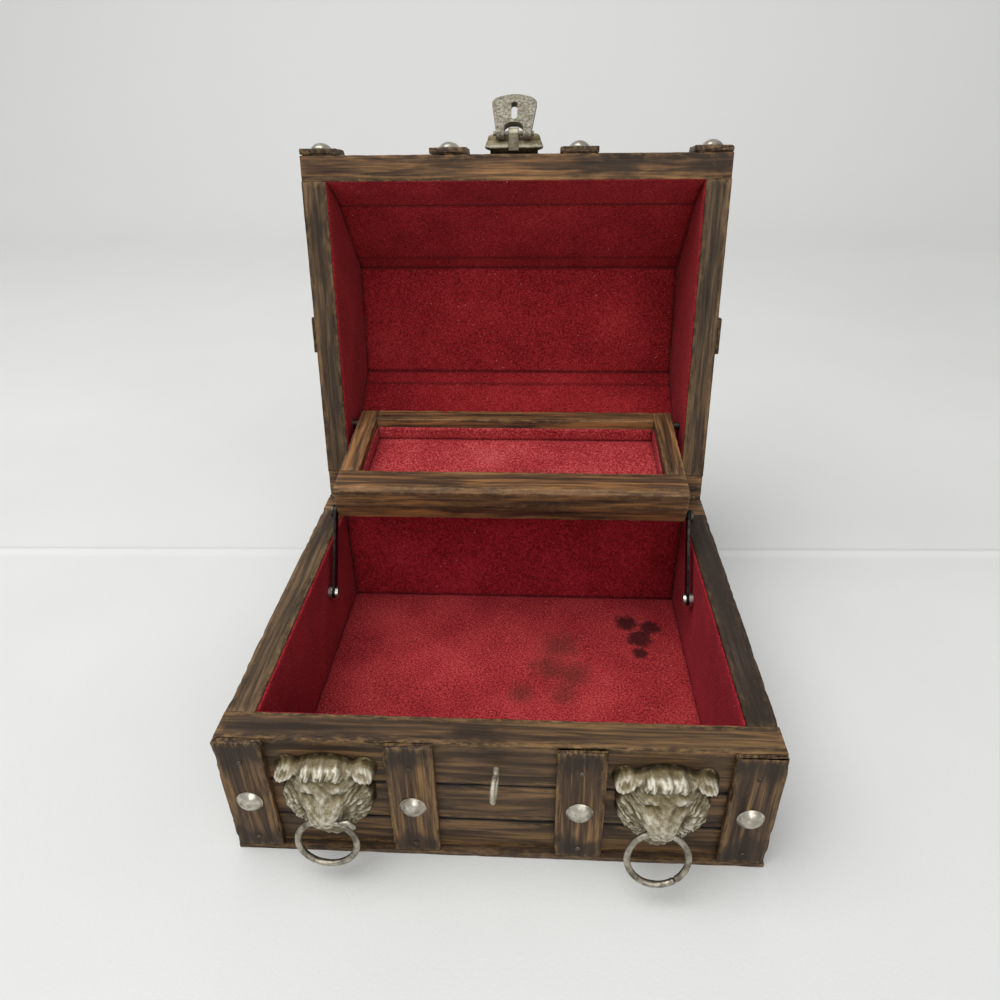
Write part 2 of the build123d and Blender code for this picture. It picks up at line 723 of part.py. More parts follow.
with BuildPart() as lid_top_lining:
    lining_strip(3, 4)
keep(lid_top_lining, "lid_top_lining")

with BuildPart() as lid_end_linings:
    for side in (-1, 1):
        with BuildSketch(opened(Plane.YZ.offset(side * lid_lining_half))):
            Polygon(*inner_arch, align=None)
            with Locations((lid_pivot_y, lid_pivot_z)):
                Circle(pivot_pin_radius + nail_clearance, mode=Mode.SUBTRACT)
        extrude(amount=side * felt_thickness)
keep(lid_end_linings, "lid_end_linings")


def hinge_leaf(centre_x, up, spans, bore_radius, place_plane=lambda plane: plane):
    """One leaf of a butt hinge on the rear face, with its share of the knuckles."""
    low = hinge_z + up * (knuckle_radius + knuckle_clearance)
    high = hinge_z + up * leaf_height
    face = place_plane(rear_face)
    with BuildSketch(face) as leaf:
        with Locations((-centre_x, (low + high) / 2)):
            Rectangle(hinge_length, abs(high - low))
        for start, end in spans:
            with Locations((-centre_x - (start + end) / 2, (low + hinge_z) / 2)):
                Rectangle(end - start, abs(low - hinge_z))
        for step in (-1, 1):
            with Locations((-centre_x + step * leaf_screw_spacing / 2, hinge_z + up * leaf_screw_reach)):
                Circle(leaf_screw_shank_radius + nail_clearance, mode=Mode.SUBTRACT)
    extrude(leaf.sketch, amount=leaf_thickness)
    for start, end in spans:
        with BuildSketch(place_plane(Plane.YZ.offset(centre_x + start))) as knuckle:
            with Locations((hinge_y, hinge_z)):
                Circle(knuckle_radius)
        extrude(knuckle.sketch, amount=end - start)
    with BuildSketch(place_plane(Plane.YZ.offset(centre_x - hinge_length / 2))) as bore:
        with Locations((hinge_y, hinge_z)):
            Circle(bore_radius)
    extrude(bore.sketch, amount=hinge_length, mode=Mode.SUBTRACT)


knuckle_third = hinge_length / 6
outer_spans = (
    (-hinge_length / 2, -knuckle_third - knuckle_clearance / 2),
    (knuckle_third + knuckle_clearance / 2, hinge_length / 2),
)
middle_span = ((-knuckle_third + knuckle_clearance / 2, knuckle_third - knuckle_clearance / 2),)

with BuildPart() as base_hinge_leaves:
    for side in (-1, 1):
        hinge_leaf(side * hinge_offset, -1, outer_spans, hinge_pin_radius)
keep(base_hinge_leaves, "base_hinge_leaves")

with BuildPart() as lid_hinge_leaves:
    for side in (-1, 1):
        hinge_leaf(side * hinge_offset, 1, middle_span, hinge_pin_radius + running_clearance, opened)
keep(lid_hinge_leaves, "lid_hinge_leaves")

with BuildPart() as hinge_pins:
    for side in (-1, 1):
        with BuildSketch(Plane.YZ.offset(side * hinge_offset)):
            with Locations((hinge_y, hinge_z)):
                Circle(hinge_pin_radius)
        extrude(amount=hinge_length / 2 + hinge_pin_overhang, both=True)
keep(hinge_pins, "hinge_pins")


def leaf_screws(up, place_plane=lambda plane: plane):
    """Round-headed screws that hold the hinge leaves."""
    seat = place_plane(rear_face.offset(leaf_thickness))
    for side in (-1, 1):
        for step in (-1, 1):
            place = (side * hinge_offset + step * leaf_screw_spacing / 2, hinge_z + up * leaf_screw_reach)
            with BuildSketch(seat) as head:
                with Locations(place):
                    Circle(leaf_screw_head_radius)
            extrude(head.sketch, amount=leaf_screw_head_height, taper=20)
            with BuildSketch(seat) as shank:
                with Locations(place):
                    Circle(leaf_screw_shank_radius)
            extrude(shank.sketch, amount=-leaf_screw_length)


with BuildPart() as base_hinge_screws:
    leaf_screws(-1)
keep(base_hinge_screws, "base_hinge_screws")

with BuildPart() as lid_hinge_screws:
    leaf_screws(1, opened)
keep(lid_hinge_screws, "lid_hinge_screws")

# Hasp: a cast plate on the lid's front rail, its pin, and the tongue that drops over the eye
hasp_axis_z = lid_rim_z
hasp_axis_y = -half_depth - hasp_pin_reach
plate_low = lid_rim_z + hasp_plate_margin
plate_high = lid_rim_z + rail_face_height - hasp_plate_margin
boss_z = plate_low + hasp_boss_lift + hasp_boss_height / 2
with BuildPart() as hasp_plate:
    with BuildSketch(opened(front_face)):
        with Locations((0, (plate_low + plate_high) / 2)):
            RectangleRounded(hasp_plate_width, plate_high - plate_low, hasp_plate_corner_radius)
    extrude(amount=hasp_plate_thickness)
    with BuildSketch(opened(front_face.offset(hasp_plate_thickness))):
        with Locations((0, boss_z)):
            Rectangle(hasp_boss_root_width, hasp_boss_height)
    with BuildSketch(opened(front_face.offset(hasp_boss_reach))):
        with Locations((0, boss_z)):
            Rectangle(hasp_boss_width, hasp_boss_tip_height)
    loft()
    with BuildSketch(opened(Plane.YZ.offset(-hasp_lug_width / 2))):
        with Locations((hasp_axis_y, hasp_axis_z)):
            Circle(hasp_eye_radius)
        Polygon(
            (-half_depth - hasp_plate_thickness / 2, plate_low + hasp_lug_height),
            (-half_depth - hasp_plate_thickness / 2, plate_low),
            (hasp_axis_y, hasp_axis_z - hasp_lug_foot),
            (hasp_axis_y, hasp_axis_z + hasp_eye_radius),
            align=None,
        )
        with Locations((hasp_axis_y, hasp_axis_z)):
            Circle(hasp_pin_radius, mode=Mode.SUBTRACT)
    extrude(amount=hasp_lug_width)
keep(hasp_plate, "hasp_plate")

with BuildPart() as hasp_pin:
    with BuildSketch(opened(Plane.YZ)):
        with Locations((hasp_axis_y, hasp_axis_z)):
            Circle(hasp_pin_radius)
    extrude(amount=tongue_root_width / 2 + hasp_pin_overhang, both=True)
keep(hasp_pin, "hasp_pin")

# The tongue is drawn hanging shut, then turned up about its pin
tongue_turn = (
    Location((0, hasp_axis_y, hasp_axis_z))
    * Location((0, 0, 0), (-hasp_open_angle, 0, 0))
    * Location((0, -hasp_axis_y, -hasp_axis_z))
)


def lifted(plane):
    """Carries a plane of the shut tongue to where it is with lid and hasp open."""
    return Plane(lid_turn * tongue_turn * plane.location)


tongue_root = tongue_root_width / 2
tongue_side = tongue_tip_width / 2
tongue_corner = tongue_side - tongue_corner_inset
tongue_corner_z = tongue_tip_rise - tongue_length
tongue_side_z = tongue_corner_z + tongue_corner_length
notch_span = 2 * hasp_eye_radius + tongue_notch_length
slot_drop = hasp_axis_z - eye_height
slot_half_length = eye_loop_radius + eye_wire_radius + slot_clearance / 2
slot_width = 2 * (eye_wire_radius + slot_clearance)
tongue_face = Plane(
    origin=(0, hasp_axis_y - tongue_thickness / 2, hasp_axis_z), x_dir=(1, 0, 0), z_dir=(0, -1, 0)
)
with BuildPart() as hasp_tongue:
    with BuildSketch(lifted(tongue_face)):
        with BuildLine():
            Line((-tongue_root, 0), (tongue_root, 0))
            Line((tongue_root, 0), (tongue_side, tongue_side_z))
            Line((tongue_side, tongue_side_z), (tongue_corner, tongue_corner_z))
            ThreePointArc(
                (tongue_corner, tongue_corner_z), (0, -tongue_length), (-tongue_corner, tongue_corner_z)
            )
            Line((-tongue_corner, tongue_corner_z), (-tongue_side, tongue_side_z))
            Line((-tongue_side, tongue_side_z), (-tongue_root, 0))
        make_face()
    extrude(amount=-tongue_thickness)
    with BuildSketch(lifted(Plane.YZ.offset(-tongue_root))):
        with Locations((hasp_axis_y, hasp_axis_z)):
            Circle(hasp_eye_radius)
    extrude(amount=tongue_root_width)
    with BuildSketch(lifted(tongue_face.offset(hasp_eye_radius))):
        with Locations((0, hasp_eye_radius - tongue_notch_length / 2)):
            RectangleRounded(tongue_notch_width, notch_span, tongue_notch_corner_radius)
    extrude(amount=-3 * hasp_eye_radius, mode=Mode.SUBTRACT)
    with BuildSketch(lifted(tongue_face.offset(tongue_thickness))):
        with Locations((0, -slot_drop)):
            SlotOverall(2 * slot_half_length, slot_width, rotation=90)
    extrude(amount=-3 * tongue_thickness, mode=Mode.SUBTRACT)
    with BuildSketch(lifted(Plane.YZ.offset(-tongue_side))):
        with Locations((hasp_axis_y, hasp_axis_z)):
            Circle(hasp_pin_radius + running_clearance)
    extrude(amount=tongue_tip_width, mode=Mode.SUBTRACT)
keep(hasp_tongue, "hasp_tongue")

# Tray: a deep front rail, three thin rails and a thin floor let in between them
tray_rear_inner = tray_depth - tray_rail_thickness
tray_inner_half = tray_half_width - tray_rail_thickness
tray_well_middle = (tray_front_rail_depth + tray_rear_inner) / 2
tray_well_depth = tray_rear_inner - tray_front_rail_depth
tray_floor_top = tray_floor_thickness - tray_rail_height

with BuildPart() as tray_front_rail:
    with BuildSketch(tray_side.offset(-tray_half_width)):
        with Locations((tray_front_rail_depth / 2, -tray_front_rail_height / 2)):
            Rectangle(tray_front_rail_depth, tray_front_rail_height)
    extrude(amount=2 * tray_half_width)
    low_edge = tray_front_rail.edges().filter_by(Axis.X).sort_by(Axis.Z)[0]
    fillet(low_edge, tray_underside_radius)
    nose_edges = [
        edge
        for edge in tray_front_rail.edges().filter_by(Axis.X)
        if math.dist((edge.center().Y, edge.center().Z), tray_corner) < 0.1
    ]
    fillet(nose_edges, tray_nose_radius)
    for side in (-1, 1):
        with BuildSketch(tray_side.offset(side * tray_half_width)):
            with Locations((front_pivot_inset, -front_pivot_drop)):
                Circle(pivot_radius)
        extrude(amount=-side * pivot_screw_bite, mode=Mode.SUBTRACT)
keep(tray_front_rail, "tray_front_rail")

for side in (-1, 1):
    with BuildPart() as tray_side_rail:
        with BuildSketch(tray_side.offset(side * tray_inner_half)):
            with Locations(((tray_front_rail_depth + tray_depth) / 2, -tray_rail_height / 2)):
                Rectangle(tray_depth - tray_front_rail_depth, tray_rail_height)
            with Locations((rear_pivot_inset, -rear_pivot_drop)):
                Circle(pivot_pin_radius + running_clearance, mode=Mode.SUBTRACT)
        extrude(amount=side * tray_rail_thickness)
    keep(tray_side_rail, "tray_left_rail" if side < 0 else "tray_right_rail")

with BuildPart() as tray_rear_rail:
    with BuildSketch(tray_side.offset(-tray_inner_half)):
        with Locations((tray_depth - tray_rail_thickness / 2, -tray_rail_height / 2)):
            Rectangle(tray_rail_thickness, tray_rail_height)
    extrude(amount=2 * tray_inner_half)
keep(tray_rear_rail, "tray_rear_rail")

with BuildPart() as tray_floor:
    with BuildSketch(tray_top.offset(-tray_rail_height)):
        with Locations((0, tray_well_middle)):
            Rectangle(2 * tray_inner_half, tray_well_depth)
    extrude(amount=tray_floor_thickness)
keep(tray_floor, "tray_floor")

with BuildPart() as tray_floor_lining:
    with BuildSketch(tray_top.offset(tray_floor_top)):
        with Locations((0, tray_well_middle)):
            Rectangle(2 * tray_inner_half, tray_well_depth)
    extrude(amount=tray_felt_thickness)
keep(tray_floor_lining, "tray_floor_lining")

with BuildPart() as tray_wall_linings:
    with BuildSketch(tray_top.offset(tray_floor_top + tray_felt_thickness)):
        with Locations((0, tray_well_middle)):
            Rectangle(2 * tray_inner_half, tray_well_depth)
            Rectangle(
                2 * (tray_inner_half - tray_felt_thickness),
                tray_well_depth - 2 * tray_felt_thickness,
                mode=Mode.SUBTRACT,
            )
    extrude(amount=-tray_lining_drop - tray_floor_top - tray_felt_thickness)
keep(tray_wall_linings, "tray_wall_linings")

# Pins of the tray's rear pivots, tight in the lid's ends
rear_pin_tip = tray_half_width - rear_pin_bite
with BuildPart() as tray_rear_pins:
    for side in (-1, 1):
        with BuildSketch(Plane.YZ.offset(side * rear_pin_tip)):
            with Locations(rear_pivot):
                Circle(pivot_pin_radius)
        extrude(amount=side * (lid_inner_half_width + pivot_screw_bite - pivot_end_gap - rear_pin_tip))
        with BuildSketch(Plane.YZ.offset(side * (tray_half_width + rear_collar_gap))):
            with Locations(rear_pivot):
                Circle(rear_collar_radius)
        extrude(amount=side * (lid_lining_half - tray_half_width - rear_collar_gap))
keep(tray_rear_pins, "tray_rear_pins")

# Arms, flat steel strips between the base's sides and the tray's front rail
arm_foot = (arm_pivot_y, arm_pivot_height)
for side in (-1, 1):
    with BuildPart() as arm:
        with BuildSketch(Plane.YZ.offset(side * arm_inner_x)):
            with Locations(
                Location(
                    ((arm_foot[0] + front_pivot[0]) / 2, (arm_foot[1] + front_pivot[1]) / 2),
                    90 - arm_lean,
                )
            ):
                SlotCenterToCenter(arm_length, arm_width)
            with Locations(arm_foot):
                Circle(pivot_radius + running_clearance, mode=Mode.SUBTRACT)
            with Locations(front_pivot):
                Circle(pivot_radius + open_pivot_clearance, mode=Mode.SUBTRACT)
        extrude(amount=side * arm_thickness)
    keep(arm, "arm_left" if side < 0 else "arm_right")

arm_head_x = arm_inner_x - pivot_head_gap
with BuildPart() as arm_foot_screws:
    for side in (-1, 1):
        with BuildSketch(Plane.YZ.offset(side * arm_head_x)):
            with Locations(arm_foot):
                Circle(pivot_radius)
        extrude(amount=side * (inner_half_width + pivot_screw_bite - pivot_end_gap - arm_head_x))
        with BuildSketch(Plane.YZ.offset(side * arm_head_x)):
            with Locations(arm_foot):
                Circle(pivot_head_radius)
        extrude(amount=-side * pivot_head_height, taper=15)
keep(arm_foot_screws, "arm_foot_screws")

washer_x = arm_outer_x + washer_gap
with BuildPart() as arm_foot_washers:
    for side in (-1, 1):
        with BuildSketch(Plane.YZ.offset(side * washer_x)):
            with Locations(arm_foot):
                Circle(washer_radius)
                Circle(pivot_radius, mode=Mode.SUBTRACT)
        extrude(amount=side * (lining_x - washer_x))
keep(arm_foot_washers, "arm_foot_washers")

arm_pin_tip = tray_half_width - pivot_screw_bite + pivot_end_gap
arm_pin_head_x = arm_outer_x + pivot_head_gap
with BuildPart() as arm_tray_pins:
    for side in (-1, 1):
        with BuildSketch(Plane.YZ.offset(side * arm_pin_tip)):
            with Locations(front_pivot):
                Circle(pivot_radius)
        extrude(amount=side * (arm_pin_head_x + pivot_head_height / 2 - arm_pin_tip))
        with BuildSketch(Plane.YZ.offset(side * arm_pin_head_x)):
            with Locations(front_pivot):
                Circle(pivot_head_radius)
        extrude(amount=side * pivot_head_height)
keep(arm_tray_pins, "arm_tray_pins")

os.makedirs("parts", exist_ok=True)
for piece in pieces:
    export_step(piece.part, f"parts/{piece.part.label}.step")
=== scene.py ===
"""Dresses the arched-lid trinket box: singed softwood, crimson felt and worn castings."""

import logging
import math
from dataclasses import dataclass, field
from enum import Enum
from functools import reduce

import bpy
import numpy as np
from mathutils import Matrix


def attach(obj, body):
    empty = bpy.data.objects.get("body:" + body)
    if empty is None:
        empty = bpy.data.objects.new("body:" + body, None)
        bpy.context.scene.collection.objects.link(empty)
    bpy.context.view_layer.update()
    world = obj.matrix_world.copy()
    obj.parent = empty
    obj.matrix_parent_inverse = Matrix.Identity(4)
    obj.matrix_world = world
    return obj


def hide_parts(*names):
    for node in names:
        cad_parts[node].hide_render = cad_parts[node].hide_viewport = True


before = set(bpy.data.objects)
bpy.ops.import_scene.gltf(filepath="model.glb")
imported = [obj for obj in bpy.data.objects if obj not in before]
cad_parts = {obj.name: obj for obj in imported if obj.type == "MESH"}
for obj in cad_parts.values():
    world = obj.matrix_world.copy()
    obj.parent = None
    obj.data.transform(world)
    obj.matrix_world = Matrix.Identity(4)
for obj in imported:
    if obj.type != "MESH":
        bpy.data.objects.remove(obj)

log = logging.getLogger("trinket_box")

Socket = bpy.types.NodeSocket
Tree = bpy.types.ShaderNodeTree
Material = bpy.types.Material
Object = bpy.types.Object
Array = np.ndarray
Pair = tuple[float, float]
Triple = tuple[float, float, float]
Quad = tuple[float, float, float, float]

# Metres in a millimetre, then sizes in millimetres: half the box's width, middles of the straps across
# the box, outer faces of the straps from the middle, and how far the wear reaches from an edge.
MM = 0.001
HALF_WIDTH = 90.0
STRAP_PLACES = (-82.0, -27.3, 27.3, 82.0)
STRAP_FACE = 77.95
END_STRAP_FACE = 92.7
WORN_REACH = 2.0


class Coordinates(Enum):
    """Where a material reads the place on a piece."""

    OBJECT = "Object"
    GRAIN = "grain"


# Numbers, noise and frames


def linear(hex_colour: str) -> Quad:
    """Turns an sRGB colour such as "#aa8855" into linear red, green, blue and alpha.

    Args:
        hex_colour: six hex digits after a hash sign.

    Returns:
        The linear colour with an alpha of 1.
    """
    values = np.array([int(hex_colour[i : i + 2], 16) for i in (1, 3, 5)]) / 255
    curve = np.where(values <= 0.04045, values / 12.92, ((values + 0.055) / 1.055) ** 2.4)
    return (float(curve[0]), float(curve[1]), float(curve[2]), 1.0)


def ripple(points: Array, size: float, seed: int, waves: int = 7) -> Array:
    """Smooth noise from -1 to 1: a sum of sine waves that run in seeded directions.

    Args:
        points: places, with their coordinates along the last axis.
        size: wavelength of the middle wave, in the same unit as the places.
        seed: picks the directions and phases.
        waves: how many waves are added.

    Returns:
        One value for each place.
    """
    random = np.random.default_rng(seed)
    heading = random.normal(size=(waves, points.shape[-1]))
    heading /= np.linalg.norm(heading, axis=1, keepdims=True)
    pitch = 2 * math.pi / (size * random.uniform(0.55, 1.8, waves))
    phase = random.uniform(0, 2 * math.pi, waves)
    total = np.sin(points @ (heading * pitch[:, None]).T + phase).sum(axis=-1)
    return np.clip(total / math.sqrt(waves * 1.6), -1, 1)


def hump(x: Array, z: Array, at: Pair, size: Pair, power: float = 2.0) -> Array:
    """A soft hill: exp(-(distance / size) ** power), 1 at its middle.

    Args:
        x: first coordinate of each place.
        z: second coordinate of each place.
        at: middle of the hill.
        size: its half widths.
        power: 2 is a bell, and more is flatter on top with steeper sides.

    Returns:
        Height of the hill at each place.
    """
    reach = np.hypot((x - at[0]) / size[0], (z - at[1]) / size[1])
    return np.exp(-(reach**power))


@dataclass(frozen=True)
class Place:
    """A set of axes in the box's own frame, in millimetres: along, across and up from a corner."""

    origin: Triple
    along: Triple = (1, 0, 0)
    across: Triple = (0, 1, 0)
    up: Triple = (0, 0, 1)

    def points(self, local: Array) -> Array:
        """Carries local (along, across, up) coordinates to the box's frame."""
        axes = np.array([self.along, self.across, self.up], float)
        return np.array(self.origin, float) + local @ axes


@dataclass(frozen=True)
class Turn:
    """A turn about an axis that runs along X through a point (y, z), in degrees."""

    y: float
    z: float
    angle: float

    def points(self, places: Array) -> Array:
        """Turns places about the axis.

        Args:
            places: places in the box's frame.

        Returns:
            Their turned copies.
        """
        cos, sin = math.cos(math.radians(self.angle)), math.sin(math.radians(self.angle))
        y, z = places[..., 1] - self.y, places[..., 2] - self.z
        return np.stack([places[..., 0], self.y + y * cos - z * sin, self.z + y * sin + z * cos], -1)


OPEN_LID = Turn(77.35, 51.4, -99.2)
LEFT_END = Place((-HALF_WIDTH, 0, 0))


# Meshes


def grid_faces(rows: int, columns: int, ring: bool, start: int = 0) -> Array:
    """Quads between neighbours of a grid whose points are numbered row by row.

    Args:
        rows: number of rows.
        columns: number of points in a row.
        ring: whether each row closes on itself.
        start: number of the grid's first point.

    Returns:
        Four point numbers for each quad.
    """
    count = columns if ring else columns - 1
    row, column = np.meshgrid(np.arange(rows - 1), np.arange(count), indexing="ij")
    after = (column + 1) % columns
    here, beside = row * columns + column, row * columns + after
    quads = np.stack([here, beside, beside + columns, here + columns], -1)
    return quads.reshape(-1, 4) + start


def capped_tube(rows: int, columns: int) -> list[list[int]]:
    """Faces of a tube: quads round it and one polygon over each end.

    Args:
        rows: number of rings.
        columns: number of points in a ring.

    Returns:
        Point numbers of each face.
    """
    ends = [list(range(columns))[::-1], [(rows - 1) * columns + index for index in range(columns)]]
    return grid_faces(rows, columns, True).tolist() + ends


def poled_tube(rows: int, columns: int, pole: int) -> list[list[int]]:
    """Faces of a tube whose ends are fans of triangles to a pole each.

    Args:
        rows: number of rings.
        columns: number of points in a ring.
        pole: number of the first ring's pole, which the last ring's pole follows.

    Returns:
        Point numbers of each face.
    """
    step = np.arange(columns)
    after = (step + 1) % columns
    tail = (rows - 1) * columns
    first = np.stack([np.full(columns, pole), after, step], -1).tolist()
    last = np.stack([np.full(columns, pole + 1), tail + step, tail + after], -1).tolist()
    return grid_faces(rows, columns, True).tolist() + first + last


@dataclass
class Mesh:
    """Points, faces and per-point values of a piece that is being worked out, in millimetres."""

    points: Array
    faces: list[list[int]]
    grain: Array
    values: dict[str, Array] = field(default_factory=dict)

    def joined(self, other: "Mesh") -> "Mesh":
        """Puts another mesh beside this one, with separate shells.

        Args:
            other: the mesh that is added.

        Returns:
            Both as one mesh, where a value that one of them lacks is 0.
        """
        shift = len(self.points)
        blank, other_blank = np.zeros(shift), np.zeros(len(other.points))
        values = {
            name: np.concatenate([self.values.get(name, blank), other.values.get(name, other_blank)])
            for name in set(self.values) | set(other.values)
        }
        faces = self.faces + [[index + shift for index in face] for face in other.faces]
        points = np.concatenate([self.points, other.points])
        return Mesh(points, faces, np.concatenate([self.grain, other.grain]), values)

    def moved(self, turn: Turn) -> "Mesh":
        """The same mesh after a turn."""
        return Mesh(turn.points(self.points), self.faces, self.grain, self.values)


def join_all(meshes: list[Mesh]) -> Mesh:
    """Joins a list of meshes into one."""
    return reduce(Mesh.joined, meshes)


def volume_sign(points: Array, faces: list[list[int]]) -> float:
    """Sums signed volumes over fans of triangles.

    Args:
        points: places of the points.
        faces: point numbers of each face.

    Returns:
        Six times the volume, positive when the faces point outwards.
    """
    total = 0.0
    sizes = np.array([len(face) for face in faces])
    for size in np.unique(sizes):
        block = np.array([face for face in faces if len(face) == size])
        for step in range(1, size - 1):
            a, b, c = points[block[:, 0]], points[block[:, step]], points[block[:, step + 1]]
            total += float(np.einsum("ij,ij->i", a, np.cross(b, c)).sum())
    return total


def make_object(name: str, mesh: Mesh, material: Material) -> Object:
    """Makes a Blender object at the origin from a worked-out mesh, with faces turned outwards.

    Args:
        name: name of the piece.
        mesh: its points in millimetres, faces and values.
        material: finish of the whole piece.

    Returns:
        The new object, linked to the scene.
    """
    faces = mesh.faces
    if volume_sign(mesh.points - mesh.points.mean(axis=0), faces) < 0:
        faces = [face[::-1] for face in faces]
    data = bpy.data.meshes.new(name)
    data.from_pydata((mesh.points * MM).tolist(), [], faces)
    data.update()
    grain = data.attributes.new("grain", "FLOAT_VECTOR", "POINT")
    grain.data.foreach_set("vector", (mesh.grain * MM).astype(np.float32).ravel())
    for key, numbers in mesh.values.items():
        store = data.attributes.new(key, "FLOAT", "POINT")
        store.data.foreach_set("value", numbers.astype(np.float32))
    data.polygons.foreach_set("use_smooth", np.full(len(data.polygons), True))
    piece = bpy.data.objects.new(name, data)
    bpy.context.scene.collection.objects.link(piece)
    data.materials.append(material)
    return piece


def settle(piece: Object, body: str, node: str) -> None:
    """Puts a finished piece on its body and hides the node that it stands for.

    Args:
        piece: the finished piece.
        body: body that it moves with.
        node: node that it replaces.
    """
    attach(piece, body)
    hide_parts(node)
    log.info("%s rides on %s", piece.name, body)


def fit(name: str, mesh: Mesh, material: Material, body: str, node: str) -> None:
    """Makes a piece from its mesh and settles it."""
    settle(make_object(name, mesh, material), body, node)


def bend_between(first: Array, second: Array) -> float:
    """Angle from one flat unit vector to another, positive counterclockwise."""
    return math.atan2(first[0] * second[1] - first[1] * second[0], float(first @ second))


def rounded_outline(corners: list[Pair], radius: float, step: float) -> tuple[Array, Array, Array]:
    """Walks round a polygon whose corners are arcs, and fills its sides with evenly spaced points.

    Args:
        corners: corners in counterclockwise order.
        radius: radius of the arcs.
        step: greatest distance between points on a side.

    Returns:
        The points, their outward normals, and a value for wear that is 1 on the arcs of sharp corners
        and falls to 0 along the sides.
    """
    arc_points, sharp = 5, 0.3
    places, normals, edges = [], [], []
    corner = np.array(corners, float)
    count = len(corner)
    for index in range(count):
        here, before, after = corner[index], corner[index - 1], corner[(index + 1) % count]
        come = (here - before) / np.linalg.norm(here - before)
        leave = (after - here) / np.linalg.norm(after - here)
        bend = bend_between(come, leave)
        back = radius * math.tan(abs(bend) / 2)
        start_normal = np.array([come[1], -come[0]])
        angles = np.linspace(0, bend, arc_points)
        cos, sin = np.cos(angles), np.sin(angles)
        turned = np.stack(
            [start_normal[0] * cos - start_normal[1] * sin, start_normal[0] * sin + start_normal[1] * cos], -1
        )
        side = 1.0 if bend >= 0 else -1.0
        centre = here - come * back - side * start_normal * radius
        arc = centre + side * turned * radius
        places.append(arc)
        normals.append(turned)
        edges.append(np.full(arc_points, 1.0 if abs(bend) > sharp else 0.0))
        next_side = corner[(index + 2) % count] - after
        next_bend = bend_between(leave, next_side / np.linalg.norm(next_side))
        finish = after - leave * radius * math.tan(abs(next_bend) / 2)
        length = float(np.linalg.norm(finish - arc[-1]))
        pieces = max(int(length / step), 1)
        shoulders = np.array([0.8, length - 0.8]) / max(length, 1.7)
        spread = np.unique(np.concatenate([np.arange(1, pieces) / pieces, shoulders]))
        spread = spread[(spread > 0.01) & (spread < 0.99)]
        places.append(arc[-1] + spread[:, None] * (finish - arc[-1]))
        normals.append(np.repeat(turned[-1:], len(spread), 0))
        near = np.minimum(spread, 1 - spread) * length
        edges.append(np.clip(1 - near / WORN_REACH, 0, 1))
    return np.concatenate(places), np.concatenate(normals), np.concatenate(edges)


def carried(
    corners: list[Pair],
    length: float,
    place: Place,
    ease: float,
    step: float,
    seed: int,
    roughness: float = 0.06,
    nick: float = 0.35,
) -> Mesh:
    """A length of worked wood: an outline with rounded corners carried along a straight line.

    The ends are rounded by drawing the outline in along a quarter circle. Seeded noise moves
    the surface in and out a little, and takes more off the corners.

    Args:
        corners: corners of the section in (across, up), counterclockwise.
        length: length in millimetres.
        place: axes that the section is carried in.
        ease: radius of every edge.
        step: greatest distance between points.
        seed: seed of the noise.
        roughness: how far the surface wanders, in millimetres.
        nick: how much the noise takes off the corners.

    Returns:
        A closed mesh with values "wear", which is 1 at edges, and "ends", the distance from the nearer
        end as a share of the length.
    """
    outline, normal, edge = rounded_outline(corners, ease, step)
    quarter = np.linspace(0, math.pi / 2, 4)
    lead = ease * (1 - np.cos(quarter))
    inset = ease * (1 - np.sin(quarter))
    middle = np.linspace(ease, length - ease, max(int(length / step), 2))[1:-1]
    station = np.concatenate([lead, middle, (length - lead)[::-1]])
    drawn = np.concatenate([inset, np.zeros(len(middle)), inset[::-1]])
    rows, columns = len(station), len(outline)
    flat = outline[None] - drawn[:, None, None] * normal[None]
    local = np.concatenate([np.repeat(station[:, None, None], columns, 1), flat], -1)
    offset = np.random.default_rng(seed).uniform(-400, 400, 3)
    noise = ripple(local + offset, 9.0, seed) * roughness - roughness
    chips = np.clip(ripple(local + offset, 5.0, seed + 50) - 0.15, 0, 1) * nick
    from_end = np.minimum(station, length - station)
    worn = np.maximum(edge[None], np.clip(1 - from_end / WORN_REACH, 0, 1)[:, None])
    sharp = np.where(worn > 0.95, 1.0, 0.0)
    outward = np.concatenate([np.zeros((rows, columns, 1)), np.repeat(normal[None], rows, 0)], -1)
    local = (local + outward * (noise - chips * sharp)[..., None]).reshape(-1, 3)
    values = {"wear": worn.reshape(-1), "ends": np.repeat(from_end / length, columns)}
    return Mesh(place.points(local), capped_tube(rows, columns), local + offset, values)


